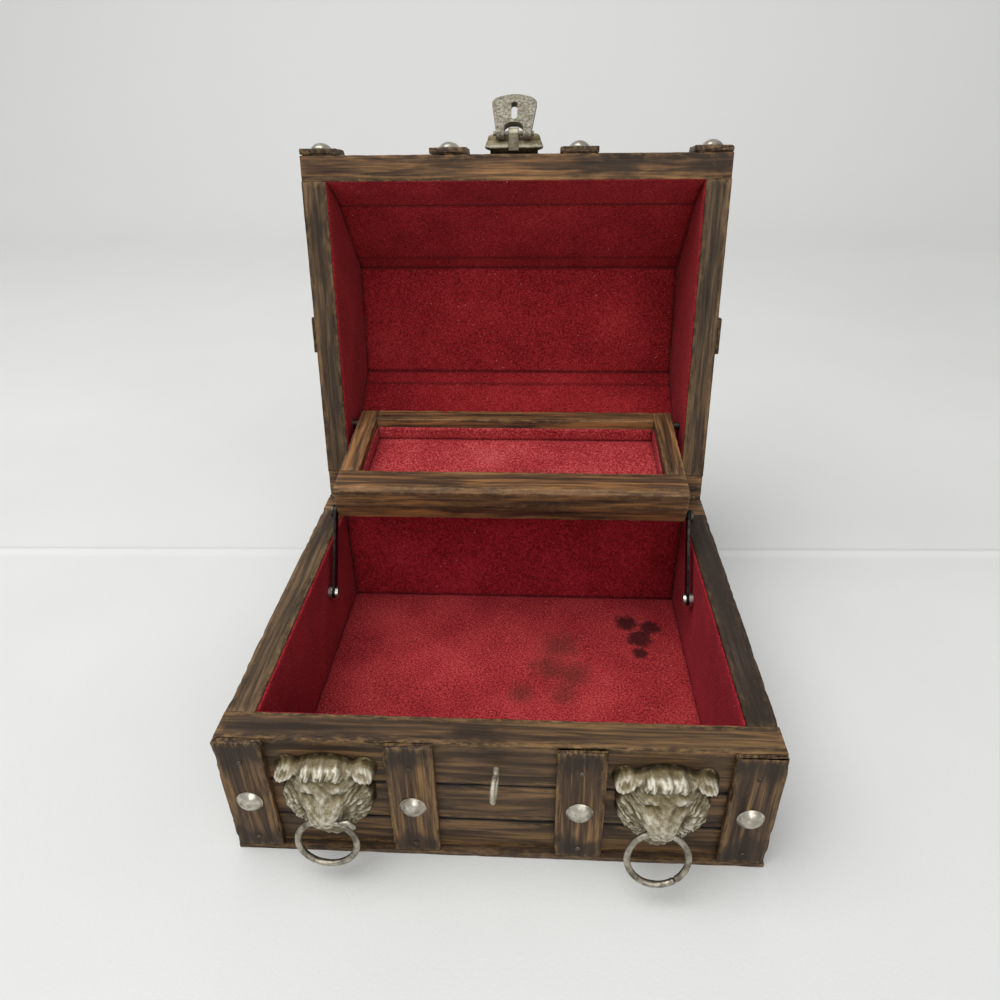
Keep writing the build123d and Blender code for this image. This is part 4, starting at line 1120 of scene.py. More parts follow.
@dataclass
class LionMask:
    """A cast lion's head with a ring through its mouth, drawn as a height over the board.

    The profile gives the height and half width of the face at places from the chin to the crown.
    """

    spread: float = 54.2
    drift: float = -0.6
    middle: float = 29.8
    front: float = -75.25
    reach: float = 14.6
    disc_radius: float = 15.0
    disc_thickness: float = 1.6
    ear_place: Pair = (12.6, 11.3)
    mouth_reach: float = 11.0
    mouth_drop: float = -2.2
    mouth_radius: float = 1.45
    profile: tuple[Triple, ...] = (
        (-16.5, 4.4, 3.0), (-15, 6.2, 4.2), (-12, 6.9, 5.4), (-9, 7.1, 5.8), (-6.2, 7.2, 5.7),
        (-5.0, 7.4, 5.6), (-4.2, 9.4, 5.5), (-3.5, 12.9, 5.5), (-2.2, 13.9, 5.7), (-1.0, 14.3, 6.0),
        (0.6, 14.0, 6.4), (2.4, 12.6, 6.9), (4.4, 10.8, 7.6), (6.6, 9.2, 8.6), (9.0, 7.8, 9.4),
        (11.0, 6.6, 9.2), (13.0, 4.6, 8.6), (15.5, 1.2, 8.0),
    )

    def outline(self, angle: Array) -> Array:
        """Distance from the middle to the rim: the furthest exit of a ray from a set of discs.

        Args:
            angle: direction of each ray.

        Returns:
            Distance along each ray, in millimetres.
        """
        locks = [(x, z, 3.0) for x, z in self.locks()]
        curls = [(x, 13.8 - 0.036 * x * x, 3.0) for x in (-8, -6, -4, -2, 0, 2, 4, 6, 8)]
        ear_x, ear_z = self.ear_place
        ears = [(-ear_x, ear_z, 4.1), (ear_x, ear_z, 4.1)]
        beard = [(-2.0, -13.0, 3.2), (2.0, -13.0, 3.2)]
        discs = np.array([(0, 0, self.disc_radius)] + ears + beard + locks + curls)
        ray = np.stack([np.cos(angle), np.sin(angle)], -1)
        along = ray @ discs[:, :2].T
        inside = along**2 - (discs[:, :2] ** 2).sum(axis=1) + discs[:, 2] ** 2
        exits = np.where(inside > 0, along + np.sqrt(np.maximum(inside, 0)), 0)
        return exits.max(axis=1)

    def locks(self) -> list[Pair]:
        """Middles of the scalloped locks round the sides and the chin."""
        turns = np.radians([171, 193, 214, 235, 255, 285, 305, 326, 347, 369])
        return [(12.5 * math.cos(turn), 12.5 * math.sin(turn)) for turn in turns]

    def mane(self, x: Array, z: Array) -> Array:
        """Height of the disc and the mane: overlapping locks with wavy hair.

        Args:
            x: place across the head.
            z: place up the head.

        Returns:
            Height in millimetres.
        """
        radius, angle = np.hypot(x, z), np.arctan2(z, x)
        place = np.stack([x, z], -1)
        total = np.where(radius < self.disc_radius + 0.2, self.disc_thickness, 0.5)
        total = total + 4.2 * np.exp(-(((radius - 8.4) / 4.6) ** 2))
        scallop = np.zeros_like(x)
        for at_x, at_z in self.locks():
            scallop = np.maximum(scallop, 2.2 * hump(x, z, (at_x, at_z), (3.4, 3.4), 2.4))
            scallop = np.maximum(scallop, 2.2 * hump(x, z, (at_x * 0.74, at_z * 0.74 + 1.2), (3.2, 3.2), 2.2))
        bend = 1.6 * np.sin(radius * 0.6) + 5.0 * ripple(place, 8.0, 3)
        hair = 0.42 * np.sin(angle * 30 + bend) + 0.16 * np.sin(angle * 61 - bend)
        return total + scallop + hair * np.clip((radius - 6.5) / 3, 0, 1)

    def ears(self, x: Array, z: Array) -> Array:
        """Height of the ears: lobes that slope out and down to a thick lower lip, which the casting's painted
        highlight makes bright.

        Args:
            x: place across the head.
            z: place up the head.

        Returns:
            Height in millimetres, 0 away from the ears.
        """
        total = np.zeros_like(x)
        for side in (-1, 1):
            across = (x - side * self.ear_place[0]) * side
            rise = z - self.ear_place[1] + 0.3 * across
            lift = 1.4 + 5.2 * np.sin(math.pi / 2 * np.clip((3.4 - rise) / 5.0, 0, 1))
            scoop = 0.8 * hump(across, rise, (-0.2, 0.5), (2.4, 0.9), 2.2)
            lobe = hump(across, rise, (0, 0), (4.8, 3.0), 4)
            root = hump(across, rise, (-4.4, 0.6), (3.4, 2.6), 3)
            hatch = 0.16 * np.sin((across * 1.2 + rise * 0.6) * 3.6)
            total = np.maximum(total, (lift - scoop + hatch) * np.maximum(lobe, 0.9 * root))
        return total

    def forelock(self, x: Array, z: Array) -> Array:
        """Height of the roll of small curls over the forehead.

        Args:
            x: place across the head.
            z: place up the head.

        Returns:
            Height in millimetres, 0 away from the curls.
        """
        place = np.stack([x, z], -1)
        wave = ripple(place, 5.0, 9)
        middle = 13.3 - 0.036 * x * x + 0.3 * np.cos(x * 1.3 + 0.5)
        across = (z - middle) / np.where(z > middle, 3.6, 2.9)
        roll = np.sqrt(np.clip(1 - across**2, 0, 1))
        lift = 8.2 - 0.024 * x * x + 0.4 * np.cos(x * 1.3 + 0.5)
        curl = 0.36 * np.sin(x * 2.7 + 2.4 * wave + 0.5 * z) + 0.24 * np.sin(x * 5.6 - z * 1.3 + 4.0 * wave)
        side = 1 / (1 + np.exp((np.abs(x) - 9.4) / 0.9))
        return (lift + curl) * roll * side

    def face(self, x: Array, z: Array, lean: float, mane: Array) -> Array:
        """Height with the face blended into the mane: a wedge from the forehead to a blunt muzzle.

        Args:
            x: place across the head.
            z: place up the head.
            lean: how far the muzzle is off the middle.
            mane: height of the mane there.

        Returns:
            The blended height.
        """
        rise, lift, half = np.array(self.profile).T
        off = x - lean * np.clip((9.0 - z) / 8.0, 0, 1)
        crest = np.interp(z, rise, lift)
        width = np.interp(z, rise, half)
        soft = np.interp(z, [-4, 2, 8], [0.6, 1.1, 1.5])
        share = 1 / (1 + np.exp((np.abs(off) - width) / soft))
        crown = 1 - 0.13 * np.minimum(np.abs(off / width), 1.3) ** 2.8
        total = mane + (crest * crown - mane) * share
        for side in (-1, 1):
            total = total + 0.7 * hump(off, z, (side * 5.0, 8.4), (2.6, 1.1))
            total = total - 1.6 * hump(off, z, (side * 4.6, 6.0), (2.1, 1.2))
            total = total + 0.6 * hump(off, z, (side * 4.5, 5.9), (0.9, 0.6))
            total = total + 0.6 * hump(off, z, (side * 5.2, 3.2), (1.7, 2.6))
            total = total - 0.7 * hump(off, z, (side * 1.8, -1.4), (0.8, 0.6))
        ridge = np.exp(-((off / 2.0) ** 2)) * np.clip((9.0 - z) / 3, 0, 1) * np.clip((z + 0.5) / 2, 0, 1)
        split = np.exp(-((off / 0.4) ** 2)) * hump(off, z, (0, -2.6), (2, 1.2))
        return total + 0.9 * ridge - 0.4 * split

    def height(self, x: Array, z: Array, lean: float) -> Array:
        """Height of the casting over the board.

        Args:
            x: place across the head.
            z: place up the head.
            lean: how far the muzzle is off the middle.

        Returns:
            Height in millimetres.
        """
        total = self.face(x, z, lean, self.mane(x, z))
        total = np.maximum(total, self.forelock(x, z))
        total = np.maximum(total, self.ears(x, z))
        place = np.stack([x, z], -1)
        grit = ripple(place, 1.1, 5, 24) * 0.1 + ripple(place, 3.0, 6) * 0.16
        return np.clip(total + grit, 0.4, self.reach)

    def mesh(self, side: int, lean: float) -> Mesh:
        """Polar grid from the middle to the rim, raised by the height and closed by a flat back.

        Args:
            side: -1 for the left head, 1 for the right.
            lean: how far the muzzle is off the middle.

        Returns:
            A closed mesh with a per-point value that is low in hollows for the patina, and lifted on the
            upper head as a painted highlight.
        """
        rings, rays = 130, 280
        angle = np.linspace(0, 2 * math.pi, rays, endpoint=False)
        share = np.linspace(0, 1, rings + 1)[1:]
        reach = self.outline(angle)
        x = share[:, None] * reach * np.cos(angle)
        z = share[:, None] * reach * np.sin(angle)
        lift = self.height(x, z, lean) * np.clip((1 - share[:, None]) * 16, 0.1, 1) ** 0.4
        near = [self.height(x + dx, z + dz, lean) for dx, dz in ((1.2, 0), (-1.2, 0), (0, 1.2), (0, -1.2))]
        raised = 0.5 + (lift - sum(near) / 4) * 0.44 + (lift - 6.0) * 0.012
        # Painted highlight: the upper head above z = 9, with its ears and curls, is lifted towards the bright
        # metal.
        top_highlight = np.clip((z - 9.0) / 2, 0, 1) * np.clip(lift - 1.5, 0, 1)
        raised = np.clip(np.maximum(raised, 0.46 * top_highlight), 0, 1)
        centre_x = side * self.spread + self.drift
        top = np.stack([centre_x + x, self.front - lift, self.middle + z], -1).reshape(-1, 3)
        back = top[-rays:].copy()
        back[:, 1] = self.front
        crown = float(self.height(np.array(0.0), np.array(0.0), lean))
        middle = np.array([[centre_x, self.front - crown, self.middle], [centre_x, self.front, self.middle]])
        points = np.concatenate([top, back, middle])
        faces = poled_tube(rings + 1, rays, len(points) - 2)
        values = np.concatenate([raised.reshape(-1), np.full(rays, 0.2), np.array([0.5, 0.3])])
        return Mesh(points, faces, points.copy(), {"raised": values})

    def build(self, finish: Material) -> None:
        """Makes both heads, each with its mouth cut through for the ring.

        Args:
            finish: their material.
        """
        for side, lean, ring, name in ((-1, 0.4, 0.4, "left"), (1, -1.4, -2.0, "right")):
            head = make_object(f"lion_head_{name}", self.mesh(side, lean), finish)
            self.cut_mouth(head, side * self.spread + self.drift + ring)
            settle(head, "base", f"lion_mask_{name}")

    def cut_mouth(self, head: Object, x: float) -> None:
        """Cuts the mouth: a hole along X that flares so that the ring can swing in it.

        Args:
            head: head to cut.
            x: middle of the mouth.
        """
        half, bend = 9.0, 9.65
        across = np.linspace(-half, half, 37)
        radius = self.mouth_radius + bend - np.sqrt(bend**2 - across**2)
        profile = np.concatenate([[[0, -half]], np.stack([radius, across], -1), [[0, half]]])
        axis = (x, self.front - self.mouth_reach, self.middle + self.mouth_drop)
        place = Place(axis, (0, 1, 0), (0, 0, 1), (1, 0, 0))
        hole = turned_piece(profile, place, 40)
        hole.points[:, 1] = np.minimum(hole.points[:, 1], axis[1] + self.mouth_radius)
        cutter = make_object("mouth_cutter", hole, head.data.materials[0])
        change = head.modifiers.new("mouth", "BOOLEAN")
        change.operation, change.object, change.solver = "DIFFERENCE", cutter, "EXACT"
        bpy.context.view_layer.update()
        cut = bpy.data.meshes.new_from_object(head.evaluated_get(bpy.context.evaluated_depsgraph_get()))
        head.modifiers.clear()
        head.data = cut
        bpy.data.objects.remove(cutter)


@dataclass
class RingPulls:
    """Two wire rings that hang from the lions' mouths."""

    pivot: Pair = (-86.25, 27.6)
    radius: float = 9.65
    gauge: float = 1.1

    def build(self, finish: Material) -> None:
        """Makes both rings: the left with its ends lapped beside each other, the right butted.

        Args:
            finish: their material.
        """
        for x, swing, span, lap, name in (
            (-54.4, 5.0, (36.0, 416.0), 2.2, "left"),
            (51.6, 15.0, (-52.0, 306.0), 0.0, "right"),
        ):
            turn = math.radians(swing)
            hang = np.array([0, -math.sin(turn), -math.cos(turn)])
            centre = np.array([x, *self.pivot]) + hang * self.radius
            degrees = np.linspace(*span, 170)
            angle = np.radians(degrees)
            reach = self.radius + lap * np.clip((66.0 - degrees) / 16.0, 0, 1) ** 1.5
            circle = np.cos(angle)[:, None] * np.array([1.0, 0, 0]) - np.sin(angle)[:, None] * hang
            path = centre + reach[:, None] * circle
            gauge = self.gauge * (1 - 0.03 * (1 + ripple(angle[:, None] * 9.0, 5.0, 7)))
            gauge[:2] *= np.array([0.8, 0.96])
            gauge[-2:] *= np.array([0.96, 0.8])
            mesh = wire(path, gauge, 20)
            fit(f"ring_{name}", mesh, finish, f"ring_pull_{name}", f"ring_pull_{name}")


@dataclass
class ScrewEye:
    """The wire eye that the hasp drops over."""

    height: float = 41.4
    middle: float = -83.25
    radius: float = 3.6
    root: float = -70.0
    turned: float = 0.1

    def build(self, finish: Material) -> None:
        """Makes the eye: a straight shank that runs into an almost closed loop.

        Args:
            finish: its material.
        """
        centre = np.array([0, self.middle, self.height])
        angle = np.radians(np.linspace(0, 328, 70))
        cos, sin = np.cos(angle), np.sin(angle)
        loop = centre + self.radius * np.stack([self.turned * cos, cos, -sin], -1)
        depth = np.linspace(self.root, self.middle + self.radius + 0.5, 12)
        shank = np.stack([np.linspace(0, 0.4, 12), depth, np.full(12, self.height)], -1)
        gauge = np.concatenate([np.full(9, 0.98), [0.92, 0.86, 0.8], np.full(len(loop) - 3, 0.8)])
        mesh = wire(np.concatenate([shank, loop[3:]]), gauge, 16)
        mesh.values["raised"] = np.full(len(mesh.points), 0.75)
        fit("eye", mesh, finish, "base", "screw_eye")


@dataclass
class Lid:
    """The arched lid: boards, straps, nails and felt, worked out shut and then turned open."""

    rim: float = 52.6
    rise: float = 60.0
    half_depth: float = 75.25
    end_thickness: float = 10.2
    strap_thickness: float = 2.7
    end_pins: Pair = (62.9, 98.1)
    end_strap_low: float = 56.6
    felt: float = 0.79
    inner: tuple[Pair, ...] = (
        (-65.05, 52.6), (-55.85, 70.6), (-31.8, 97.6), (-26.5, 104.4),
    )

    def outer(self) -> list[Pair]:
        """Works out the outside of the arch, whose slope stands 10.5 mm off its inside.

        Returns:
            Corners (y, z) from the front rim to the crown.
        """
        thick = 10.5
        (y0, z0), (y1, z1) = self.inner[1], self.inner[2]
        run = math.hypot(y1 - y0, z1 - z0)
        way = ((y1 - y0) / run, (z1 - z0) / run)
        skin = (y0 - thick * way[1], z0 + thick * way[0])
        crown = self.rim + self.rise
        shoulder = skin[1] + (-self.half_depth - skin[0]) / way[0] * way[1]
        top = skin[0] + (crown - skin[1]) / way[1] * way[0]
        return [(-self.half_depth, self.rim), (-self.half_depth, shoulder), (top, crown)]

    def boards(self, finish: Material, ends: Material) -> None:
        """Rails, slopes, top panel and end boards.

        Args:
            finish: material of the long boards.
            ends: material of the end boards.
        """
        outer, inner = self.outer(), self.inner
        rail = [inner[0], inner[1], outer[1], outer[0]]
        slope = [inner[1], inner[2], inner[3], outer[2], outer[1]]
        top = [inner[3], *mirrored([outer[2], inner[3]]), outer[2]]
        for name, corners, node, seed in (
            ("lid_front_rail", rail, "lid_front_rail", 101),
            ("lid_rear_rail", mirrored(rail), "lid_rear_rail", 102),
            ("lid_front_slope", slope, "lid_front_slope", 103),
            ("lid_rear_slope", mirrored(slope), "lid_rear_slope", 104),
            ("lid_top", top, "lid_top_panel", 105),
        ):
            mesh = carried(corners, 2 * HALF_WIDTH, LEFT_END, 0.4, 2.8, seed, 0.05, 0.4).moved(OPEN_LID)
            fit(f"{name}_wood", mesh, finish, "lid", node)
        arch = list(inner) + mirrored(inner)
        for side, name in ((-1, "left"), (1, "right")):
            mesh = self.end_board(arch, side, 110 + side).moved(OPEN_LID)
            fit(f"lid_{name}_end_wood", mesh, ends, "lid", f"lid_{name}_end")

    def end_board(self, arch: list[Pair], side: int, seed: int) -> Mesh:
        """An end board: the arch's opening as a plate, with its grain along the rim.

        Args:
            arch: inside corners of the arch.
            side: -1 for the left end, 1 for the right.
            seed: seed of the noise.

        Returns:
            Its mesh, shut.
        """
        near = HALF_WIDTH - self.end_thickness if side > 0 else -HALF_WIDTH
        section = carried(arch, self.end_thickness, Place((near, 0, 0)), 0.3, 2.0, seed, 0.04, 0.35)
        section.grain = section.grain[:, [1, 0, 2]]
        return section

    def straps(self, finish: Material) -> None:
        """Four straps bent over the arch and one on each end.

        Args:
            finish: their material.
        """
        outer = self.outer()
        run = outer + mirrored(outer)
        for number, x in enumerate(STRAP_PLACES, 1):
            mesh = self.bent_strap(run, x, 120 + number).moved(OPEN_LID)
            fit(f"lid_strap_{number}_wood", mesh, finish, "lid", f"lid_strap_{number}")
        plates = []
        for side in (-1, 1):
            near = HALF_WIDTH if side > 0 else -END_STRAP_FACE
            far = near + self.strap_thickness
            corners = [(near, -8.0), (far, -8.0), (far, 8.0), (near, 8.0)]
            place = Place((0, 0, self.end_strap_low), (0, 0, 1), (1, 0, 0), (0, 1, 0))
            plate = carried(corners, 56.0, place, 0.45, 1.8, 130 + side, 0.06, 0.5)
            plates.append(plate.moved(OPEN_LID))
        fit("lid_end_strap_wood", join_all(plates), finish, "lid", "lid_end_straps")

    def bent_strap(self, run: list[Pair], x: float, seed: int) -> Mesh:
        """A strap carried over the arch: a rounded rectangle moved along it, mitred at its bends.

        Args:
            run: outside corners of the arch.
            x: middle of the strap.
            seed: seed of the noise.

        Returns:
            Its mesh, shut.
        """
        half, thick, ease = 8.0, 2.68, 0.45
        section = [(-half, 0.0), (half, 0.0), (half, thick), (-half, thick)]
        outline, normal, edge = rounded_outline(section, ease, 1.8)
        corner = np.array(run)
        way = np.diff(corner, axis=0)
        length = np.linalg.norm(way, axis=1)
        way /= length[:, None]
        before, after = np.vstack([way[:1], way]), np.vstack([way, way[-1:]])
        mitre = np.stack([-(before[:, 1] + after[:, 1]), before[:, 0] + after[:, 0]], -1)
        mitre /= (1 + (before * after).sum(axis=1))[:, None]
        reach = np.concatenate([[0], np.cumsum(length)])
        inside = [np.linspace(a, b, max(int((b - a) / 1.8), 2) + 1)[:-1] for a, b in zip(reach, reach[1:])]
        quarter = np.linspace(0, math.pi / 2, 4)
        lead = ease * (1 - np.cos(quarter))
        tail = (reach[-1] - lead)[::-1]
        station = np.concatenate([lead, np.concatenate(inside)[1:], tail])
        inset = 1 - np.sin(quarter)
        drawn = np.interp(station, np.concatenate([lead, tail]), ease * np.concatenate([inset, inset[::-1]]))
        path, side = follow(station, reach, corner), follow(station, reach, mitre)
        leg = np.clip(np.searchsorted(reach, station, side="right") - 1, 0, len(way) - 1)
        square = np.stack([-way[leg, 1], way[leg, 0]], -1)
        at_bend = np.isin(station, reach[1:-1])[:, None]
        side = np.where(at_bend, side, square)
        flat = outline[None] - drawn[:, None, None] * normal[None]
        grain = np.concatenate([np.repeat(station[:, None, None], len(outline), 1), flat], -1)
        grain = grain + np.random.default_rng(seed).uniform(-400, 400, 3)
        from_end = np.minimum(station, reach[-1] - station)
        worn = np.maximum(edge[None], np.clip(1 - from_end / WORN_REACH, 0, 1)[:, None])
        chips = np.clip(ripple(grain, 5.0, seed + 50), 0, 1) * 0.4 * (worn > 0.95)
        take = ripple(grain, 9.0, seed) * 0.05 - 0.05 - chips
        flat = flat + normal[None] * take[..., None]
        flat[..., 1] = np.maximum(flat[..., 1], 0.0)
        places = np.concatenate([flat[..., :1] + x, path[:, None] + side[:, None] * flat[..., 1:]], -1)
        values = {"wear": worn.reshape(-1), "ends": np.repeat(from_end / reach[-1], len(outline))}
        faces = capped_tube(len(station), len(outline))
        return Mesh(places.reshape(-1, 3), faces, grain.reshape(-1, 3), values)

    def nails(self, nickel: Material, steel: Material) -> None:
        """Nails through the lid's straps.

        Args:
            nickel: material of the domes.
            steel: material of the pins.
        """
        outer = self.outer()
        rail_nail = self.rim + (outer[1][1] - self.rim) / 2
        crown_pin = abs(outer[2][0]) - 6.3
        crown = self.rim + self.rise + self.strap_thickness
        end_nail = (self.end_strap_low + self.end_pins[1]) / 2
        domes, pins = [], []
        for index, x in enumerate(STRAP_PLACES):
            for side in (-1, 1):
                place = Place((x, side * STRAP_FACE, rail_nail), (1, 0, 0), (0, 0, 1), (0, side, 0))
                domes.append((place, 140 + index))
            domes.append((Place((x, 0, crown)), 150 + index))
            pins += [(Place((x, y, crown)), 160 + index) for y in (-crown_pin, crown_pin)]
        for side in (-1, 1):
            axes = ((0, 1, 0), (0, 0, 1), (side, 0, 0))
            domes.append((Place((side * END_STRAP_FACE, 0, end_nail), *axes), 170 + side))
            pins += [(Place((side * END_STRAP_FACE, 0, z), *axes), 175 + side) for z in self.end_pins]
        mesh = join_all([nail_dome(turned_place(place, OPEN_LID), seed) for place, seed in domes])
        fit("lid_domes", mesh, nickel, "lid", "lid_dome_nails")
        mesh = join_all([pin_head(turned_place(place, OPEN_LID), seed) for place, seed in pins])
        fit("lid_pins", mesh, steel, "lid", "lid_pin_nails")

    def linings(self, finish: Material) -> None:
        """Felt on the inside of rails, slopes, top and ends.

        Args:
            finish: its material.
        """
        arch = np.array(list(self.inner) + mirrored(self.inner))
        way = np.diff(arch, axis=0)
        way /= np.linalg.norm(way, axis=1, keepdims=True)
        before = np.vstack([way[:1], way])
        after = np.vstack([way, way[-1:]])
        spread = 1 + (before * after).sum(axis=1)
        side = np.stack([before[:, 1] + after[:, 1], -(before[:, 0] + after[:, 0])], -1) / spread[:, None]
        skin = arch + self.felt * side
        for name, spans, node in (
            ("lid_rail_felt", ((0, 1), (6, 7)), "lid_rail_linings"),
            ("lid_slope_felt", ((1, 3), (4, 6)), "lid_slope_linings"),
            ("lid_top_felt", ((3, 4),), "lid_top_lining"),
        ):
            parts = [self.strip(skin[a : b + 1], arch[a : b + 1], 200 + a) for a, b in spans]
            fit(name, join_all(parts).moved(OPEN_LID), finish, "lid", node)
        ends = [self.end_felt(arch, end) for end in (-1, 1)]
        fit("lid_end_felt", join_all(ends).moved(OPEN_LID), finish, "lid", "lid_end_linings")

    def strip(self, skin: Array, arch: Array, seed: int) -> Mesh:
        """A strip of felt along the box that follows a run of the arch.

        Args:
            skin: corners of the felt's face, as (y, z).
            arch: corners of the wood behind it.
            seed: seed of the noise.

        Returns:
            Its mesh, shut.
        """
        gaps = np.linalg.norm(np.diff(skin, axis=0), axis=1)
        place = np.concatenate([[0], np.cumsum(gaps)])
        even = np.linspace(0, place[-1], max(int(place[-1] / 1.6), 4) + 1)
        bends = place[1:-1]
        if len(bends):
            even = even[np.abs(even[:, None] - bends).min(axis=1) > 0.6]
        steps = np.sort(np.concatenate([even, bends - 0.25, bends, bends + 0.25]))
        half = HALF_WIDTH - self.end_thickness - self.felt - 0.06
        x = np.linspace(-half, half, 80)
        face, back = (extruded(x, follow(steps, place, line)) for line in (skin, arch))
        made = sheet(face, back, seed, 0.2, 0.18)
        # Painted shade along the bends: this value is 1 at each bend and fades within about a millimetre.
        near = np.abs(steps[:, None] - place[None]).min(axis=1)
        made.values["crease"] = np.tile(np.exp(-((near / 0.55) ** 2)), 2 * len(x))
        return made

    def end_felt(self, arch: Array, side: int) -> Mesh:
        """Felt on one end board: rows from the rim up to the arch.

        Args:
            arch: inside corners of the arch.
            side: -1 for the left end, 1 for the right.

        Returns:
            Its mesh, shut.
        """
        y = np.linspace(arch[0, 0] + 0.05, -arch[0, 0] - 0.05, 70)
        top = np.interp(y, arch[:, 0], arch[:, 1]) - 0.05
        share = np.linspace(0, 1, 26)
        z = self.rim + 0.3 + share[:, None] * (top - self.rim - 0.3)
        x = np.full_like(z, side * (HALF_WIDTH - self.end_thickness - 0.8))
        face = np.stack([x, np.repeat(y[None], len(share), 0), z], -1)
        back = face + np.array([side * (self.felt - 0.01), 0, 0])
        return sheet(face, back, 210 + side, 0.3, 0.2)


@dataclass
class Tray:
    """The lifting tray, worked out in its own tilted axes: y from its front edge, z up from its top."""

    width: float = 151.2
    corner: Pair = (36.7577, 78.997)
    tilt: float = 6.5
    depth: float = 66.0
    front: float = 14.4
    rail: float = 8.6
    low: float = -12.6
    felt_top: float = -10.9
    felt_thickness: float = 0.48

    def place(self, x: float) -> Place:
        """Axes from the tray's front top edge at a distance x along the box."""
        cos, sin = math.cos(math.radians(self.tilt)), math.sin(math.radians(self.tilt))
        return Place((x, *self.corner), (1, 0, 0), (0, cos, sin), (0, -sin, cos))

    def boards(self, wood: Material, ply: Material) -> None:
        """Makes rails and floor.

        Args:
            wood: material of the rails.
            ply: material of the floor board.
        """
        half, rail, low, front = self.width / 2, self.rail, self.low, self.front
        inner, back = half - rail, self.depth - rail
        section = [
            (1.9, -16.7), (11.2, -16.7), (front, -13.9), (front, 0.0), (1.6, 0.0), (0.0, -1.6), (0.0, -9.0),
        ]
        mesh = carried(section, self.width, self.place(-half), 0.8, 2.4, 301, 0.07, 0.3)
        fit("tray_front_wood", mesh, wood, "tray", "tray_front_rail")
        section = [(back, low), (self.depth, low), (self.depth, 0.0), (back, 0.0)]
        mesh = carried(section, 2 * inner, self.place(-inner), 0.5, 2.6, 302, 0.06, 0.4)
        fit("tray_rear_wood", mesh, wood, "tray", "tray_rear_rail")
        axes = self.place(0)
        along = Place(tuple(axes.points(np.array([0.0, front, 0.0]))), axes.across, (-1, 0, 0), axes.up)
        for side, name in ((-1, "left"), (1, "right")):
            near = inner if side > 0 else -half
            section = [(-near - rail, low), (-near, low), (-near, 0.0), (-near - rail, 0.0)]
            mesh = carried(section, self.depth - front, along, 0.5, 2.4, 303 + side, 0.06, 0.4)
            fit(f"tray_{name}_wood", mesh, wood, "tray", f"tray_{name}_rail")
        section = [(front, low), (back, low), (back, -11.4), (front, -11.4)]
        mesh = carried(section, 2 * inner, self.place(-inner), 0.1, 3.0, 306, 0.02, 0.0)
        fit("tray_floor_ply", mesh, ply, "tray", "tray_floor")

    def linings(self, felt: Material) -> None:
        """Makes the felt on the floor and the four walls.

        Args:
            felt: its material.
        """
        axes = self.place(0)
        inner, low, thick = self.width / 2 - self.rail, self.felt_top, self.felt_thickness
        deep = self.depth - self.front - self.rail
        face = patch((-inner, self.front, low), (2 * inner, 0, 0), (0, deep, 0), 2.0)
        mesh = sheet(axes.points(face), axes.points(face - np.array([0, 0, thick])), 310, 0.0, 0.15)
        fit("tray_floor_felt", mesh, felt, "tray", "tray_floor_lining")
        least = (0.5 - inner, self.front + 0.5, low)
        most = (inner - 0.5, self.depth - self.rail - 0.5, low + 6.4)
        mesh = wall_felt(least, most, thick, 1.6, 311, (0.3, 0.1), axes)
        fit("tray_wall_felt", mesh, felt, "tray", "tray_wall_linings")


@dataclass
class HaspPlate:
    """The hasp's cast plate on the lid's front rail, with a lug for the pin."""

    front: float = -75.25
    low: float = 53.0
    high: float = 64.4
    half_width: float = 12.2

    def build(self, finish: Material) -> None:
        """Makes the plate as a stack of rounded outlines, with its lug.

        Args:
            finish: its material.
        """
        levels = np.array([
            (0.05, -2.2, 1.6), (1.5, -2.2, 1.6), (1.95, -0.6, 0.4), (2.2, -0.1, 0.0), (2.7, 0.0, 0.0),
            (3.6, -0.3, 0.1), (4.5, -0.6, 0.3), (4.95, -0.9, 0.9), (5.1, -1.0, 2.3), (5.6, -1.1, 2.5),
            (6.6, -1.4, 2.6), (7.3, -1.9, 2.8), (7.6, -2.6, 3.3), (7.7, -3.6, 4.2),
        ])
        turn = np.linspace(0, 2 * math.pi, 120, endpoint=False)
        cos, sin = np.cos(turn), np.sin(turn)
        low = self.low + levels[:, 2:]
        high = self.high + levels[:, 1:2] * 0.5
        x = (self.half_width + levels[:, 1:2]) * np.sign(cos) * np.abs(cos) ** 0.5
        z = (low + high) / 2 + (high - low) / 2 * np.sign(sin) * np.abs(sin) ** 0.5
        y = np.repeat(self.front - levels[:, :1], len(turn), 1)
        points = np.stack([x, y, z], -1).reshape(-1, 3)
        points[:, 1] += (ripple(points, 2.6, 71) * 0.14 - 0.1) * (points[:, 1] < self.front - 1.9)
        shade = np.array([0, 0, 0.1, 0.6, 0.75, 0.5, 0.5, 0.6, 0.3, 0.4, 0.55, 0.7, 0.75, 0.6])
        raised = np.repeat(shade, len(turn))
        plate = Mesh(points, capped_tube(len(levels), len(turn)), points.copy(), {"raised": raised})
        lug = [
            (-76.5, 57.5), (-76.5, 53.6), (-81.4, 50.9), (-82.9, 50.5),
            (-84.4, 51.3), (-84.9, 52.8), (-84.1, 54.3), (-82.6, 54.8),
        ]
        arm = carried(lug, 4.1, Place((-2.05, 0, 0)), 0.35, 1.2, 72, 0.05, 0.1)
        arm.values = {"raised": np.full(len(arm.points), 0.6)}
        mesh = plate.joined(arm).moved(OPEN_LID)
        fit("hasp_plate_cast", mesh, finish, "lid", "hasp_plate")


@dataclass
class Hardware:
    """Metal pieces whose modelled shape already shows well, which only need their finish."""

    finish: PlatedSteel
    nodes: tuple[str, ...]

    def dress(self) -> None:
        """Gives each node the material."""
        material = self.finish.material()
        for name in self.nodes:
            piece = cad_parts[name]
            piece.data.materials.clear()
            piece.data.materials.append(material)
            log.info("%s wears %s", name, self.finish.name)


